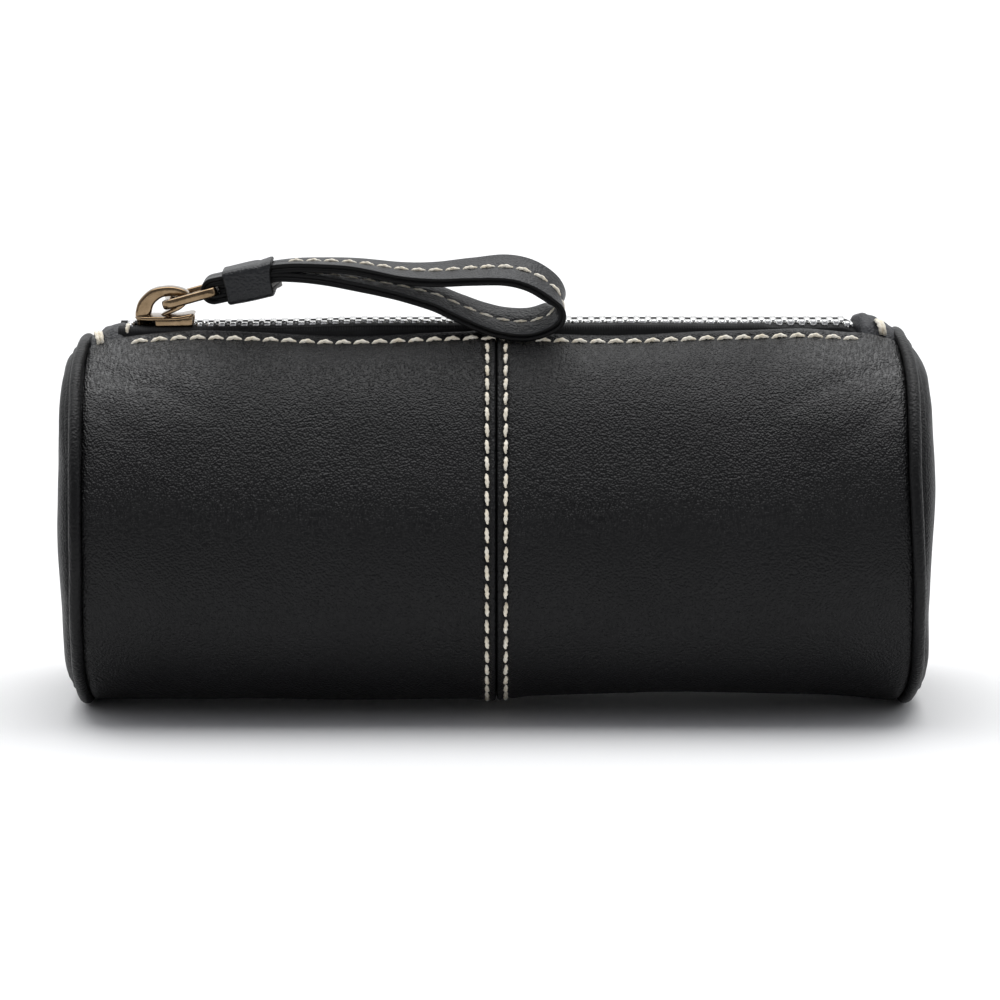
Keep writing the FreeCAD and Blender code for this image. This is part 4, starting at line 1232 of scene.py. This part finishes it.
def keeper():
    """A leather band wrapped round the strap, with its lap underneath."""
    out = Mesh()
    rows = []
    hw, hm, t = 6.2, 3.85, 1.0
    n = 72

    def outline(a, shrink, r):
        # rounded rectangle by angle, superellipse
        c, s = cos(a), sin(a)
        e = 2.0 / r
        return ((hw - shrink) * math.copysign(abs(c) ** e, c), (hm - shrink) * math.copysign(abs(s) ** e, s))
    us = [2.5, 2.56, 2.75, 3.1, 4.2, 5.6, 7.0, 8.4, 9.4, 9.9, 10.2, 10.4, 10.6, 10.8, 11.0, 11.4, 11.9, 12.2, 12.45, 12.64, 12.7]
    sh = [0.5, 0.28, 0.1, 0.02, 0.0, -0.05, -0.08, -0.08, -0.06, -0.05, -0.04, -0.03, -0.03, -0.02, -0.02, 0.0, 0.0, 0.02, 0.1, 0.28, 0.5]
    loops = []
    for u, d in zip(us, sh):
        row = []
        for k in range(n):
            a = 2 * pi * k / n
            y, m = outline(a, d + 0.06 * nz(u / 2.5, 3 * cos(a), 3 * sin(a)), 6.5)
            up = max(0.0, sin(a)) ** 0.5
            m += up * (0.2 * smooth(11.0, 12.6, u) - 0.16 * bump(u, 10.6, 0.35))
            row.append(keep_pt(u + 0.10 * nz(cos(a) * 2, sin(a) * 2, u / 9) + 1.0 * up * smooth(9.8, 12.6, u), m, y))
        loops.append(row)
    for u, d in zip(reversed(us), reversed(sh)):
        row = []
        for k in range(n):
            a = 2 * pi * k / n
            y, m = outline(a, t - d if d > 0.05 else t - 0.02, 9.0)
            up = max(0.0, sin(a)) ** 0.5
            row.append(keep_pt(u + 1.0 * up * smooth(9.8, 12.6, u), m + 0.2 * up * smooth(11.0, 12.6, u), y))
        loops.append(row)
    out.loops(loops, closed=True)
    k0 = len(us)
    fm = []
    for i in range(len(loops)):
        edge = i in (0, 1, k0 - 3, k0 - 2, k0 - 1, k0, k0 + 1, len(loops) - 1, len(loops) - 2)
        fm += [1 if edge else 0] * n
    out.fm = fm
    return out.make("keeper_band", M_STRAP, mats=[M_STRAP, M_EDGE], body="strap", slot="strap_leather", replaces=("strap_keeper",))


keeper()

# ----------------------------------------------------------------------------
# floor, light, camera
# ----------------------------------------------------------------------------
bm = bmesh.new()
bmesh.ops.create_grid(bm, x_segments=8, y_segments=8, size=9.0)
me = bpy.data.meshes.new("floor")
bm.to_mesh(me)
bm.free()
floor = bpy.data.objects.new("floor", me)
floor.location = (0, 0, -0.0001)
scene.collection.objects.link(floor)
fm_, fnt, fb, ftc = material("floor_mat")
fn = noise_tex(fnt, ftc, 3.0, 2.0)
fc = ramp(fnt, fn.outputs["Fac"], [(0.3, (0.88, 0.88, 0.88)), (0.7, (0.9, 0.9, 0.9))])
fnt.links.new(fc.outputs["Color"], fb.inputs["Base Color"])
fb.inputs["Roughness"].default_value = 0.9
fb.inputs["Specular IOR Level"].default_value = 0.1
me.materials.append(fm_)

world = bpy.data.worlds.new("studio")
scene.world = world
world.use_nodes = True
wn = world.node_tree
bg = wn.nodes["Background"]
wtc = wn.nodes.new("ShaderNodeTexCoord")
wsep = wn.nodes.new("ShaderNodeSeparateXYZ")
wn.links.new(wtc.outputs["Generated"], wsep.inputs["Vector"])
wr = wn.nodes.new("ShaderNodeMapRange")
wr.inputs["From Min"].default_value = -0.95
wr.inputs["From Max"].default_value = 0.35
wr.inputs["To Min"].default_value = 0.0
wr.inputs["To Max"].default_value = 1.0
wn.links.new(wsep.outputs["Y"], wr.inputs["Value"])
wc = ramp(wn, wr.outputs["Result"], [(0.0, (0.22, 0.22, 0.23)), (0.36, (0.27, 0.27, 0.29)), (0.66, (0.69, 0.71, 0.74)), (1.0, (0.98, 0.99, 1.0))])
wn.links.new(wc.outputs["Color"], bg.inputs["Color"])
bg.inputs["Strength"].default_value = 1.0


def area(name, loc, target, sx, sy, power, color=(1, 1, 1)):
    l = bpy.data.lights.new(name, "AREA")
    l.shape = "RECTANGLE"
    l.size, l.size_y = sx, sy
    l.energy = power
    l.color = color
    o = bpy.data.objects.new(name, l)
    o.location = loc
    d = Vector(target) - Vector(loc)
    o.rotation_euler = d.to_track_quat("-Z", "Y").to_euler()
    scene.collection.objects.link(o)
    return o


sun = bpy.data.lights.new("overhead", "SUN")
sun.energy = 2.2
sun.angle = rad(60)
so = bpy.data.objects.new("overhead", sun)
so.rotation_euler = (rad(-12), 0, 0)
scene.collection.objects.link(so)

ELEV, DIST = rad(9.0), 1.1
aim = Vector((0.00077, 0.0, 0.04326))
cam = bpy.data.cameras.new("camera")
cam.sensor_width = 36.0
cam.lens = 36.0 * DIST / 0.2188
cam.clip_start = 0.05
cam.clip_end = 50.0
co = bpy.data.objects.new("camera", cam)
co.location = aim + DIST * Vector((0, -cos(ELEV), sin(ELEV)))
co.rotation_euler = (aim - co.location).to_track_quat("-Z", "Y").to_euler()
scene.collection.objects.link(co)
scene.camera = co
scene.view_settings.view_transform = "Standard"
scene.view_settings.look = "None"
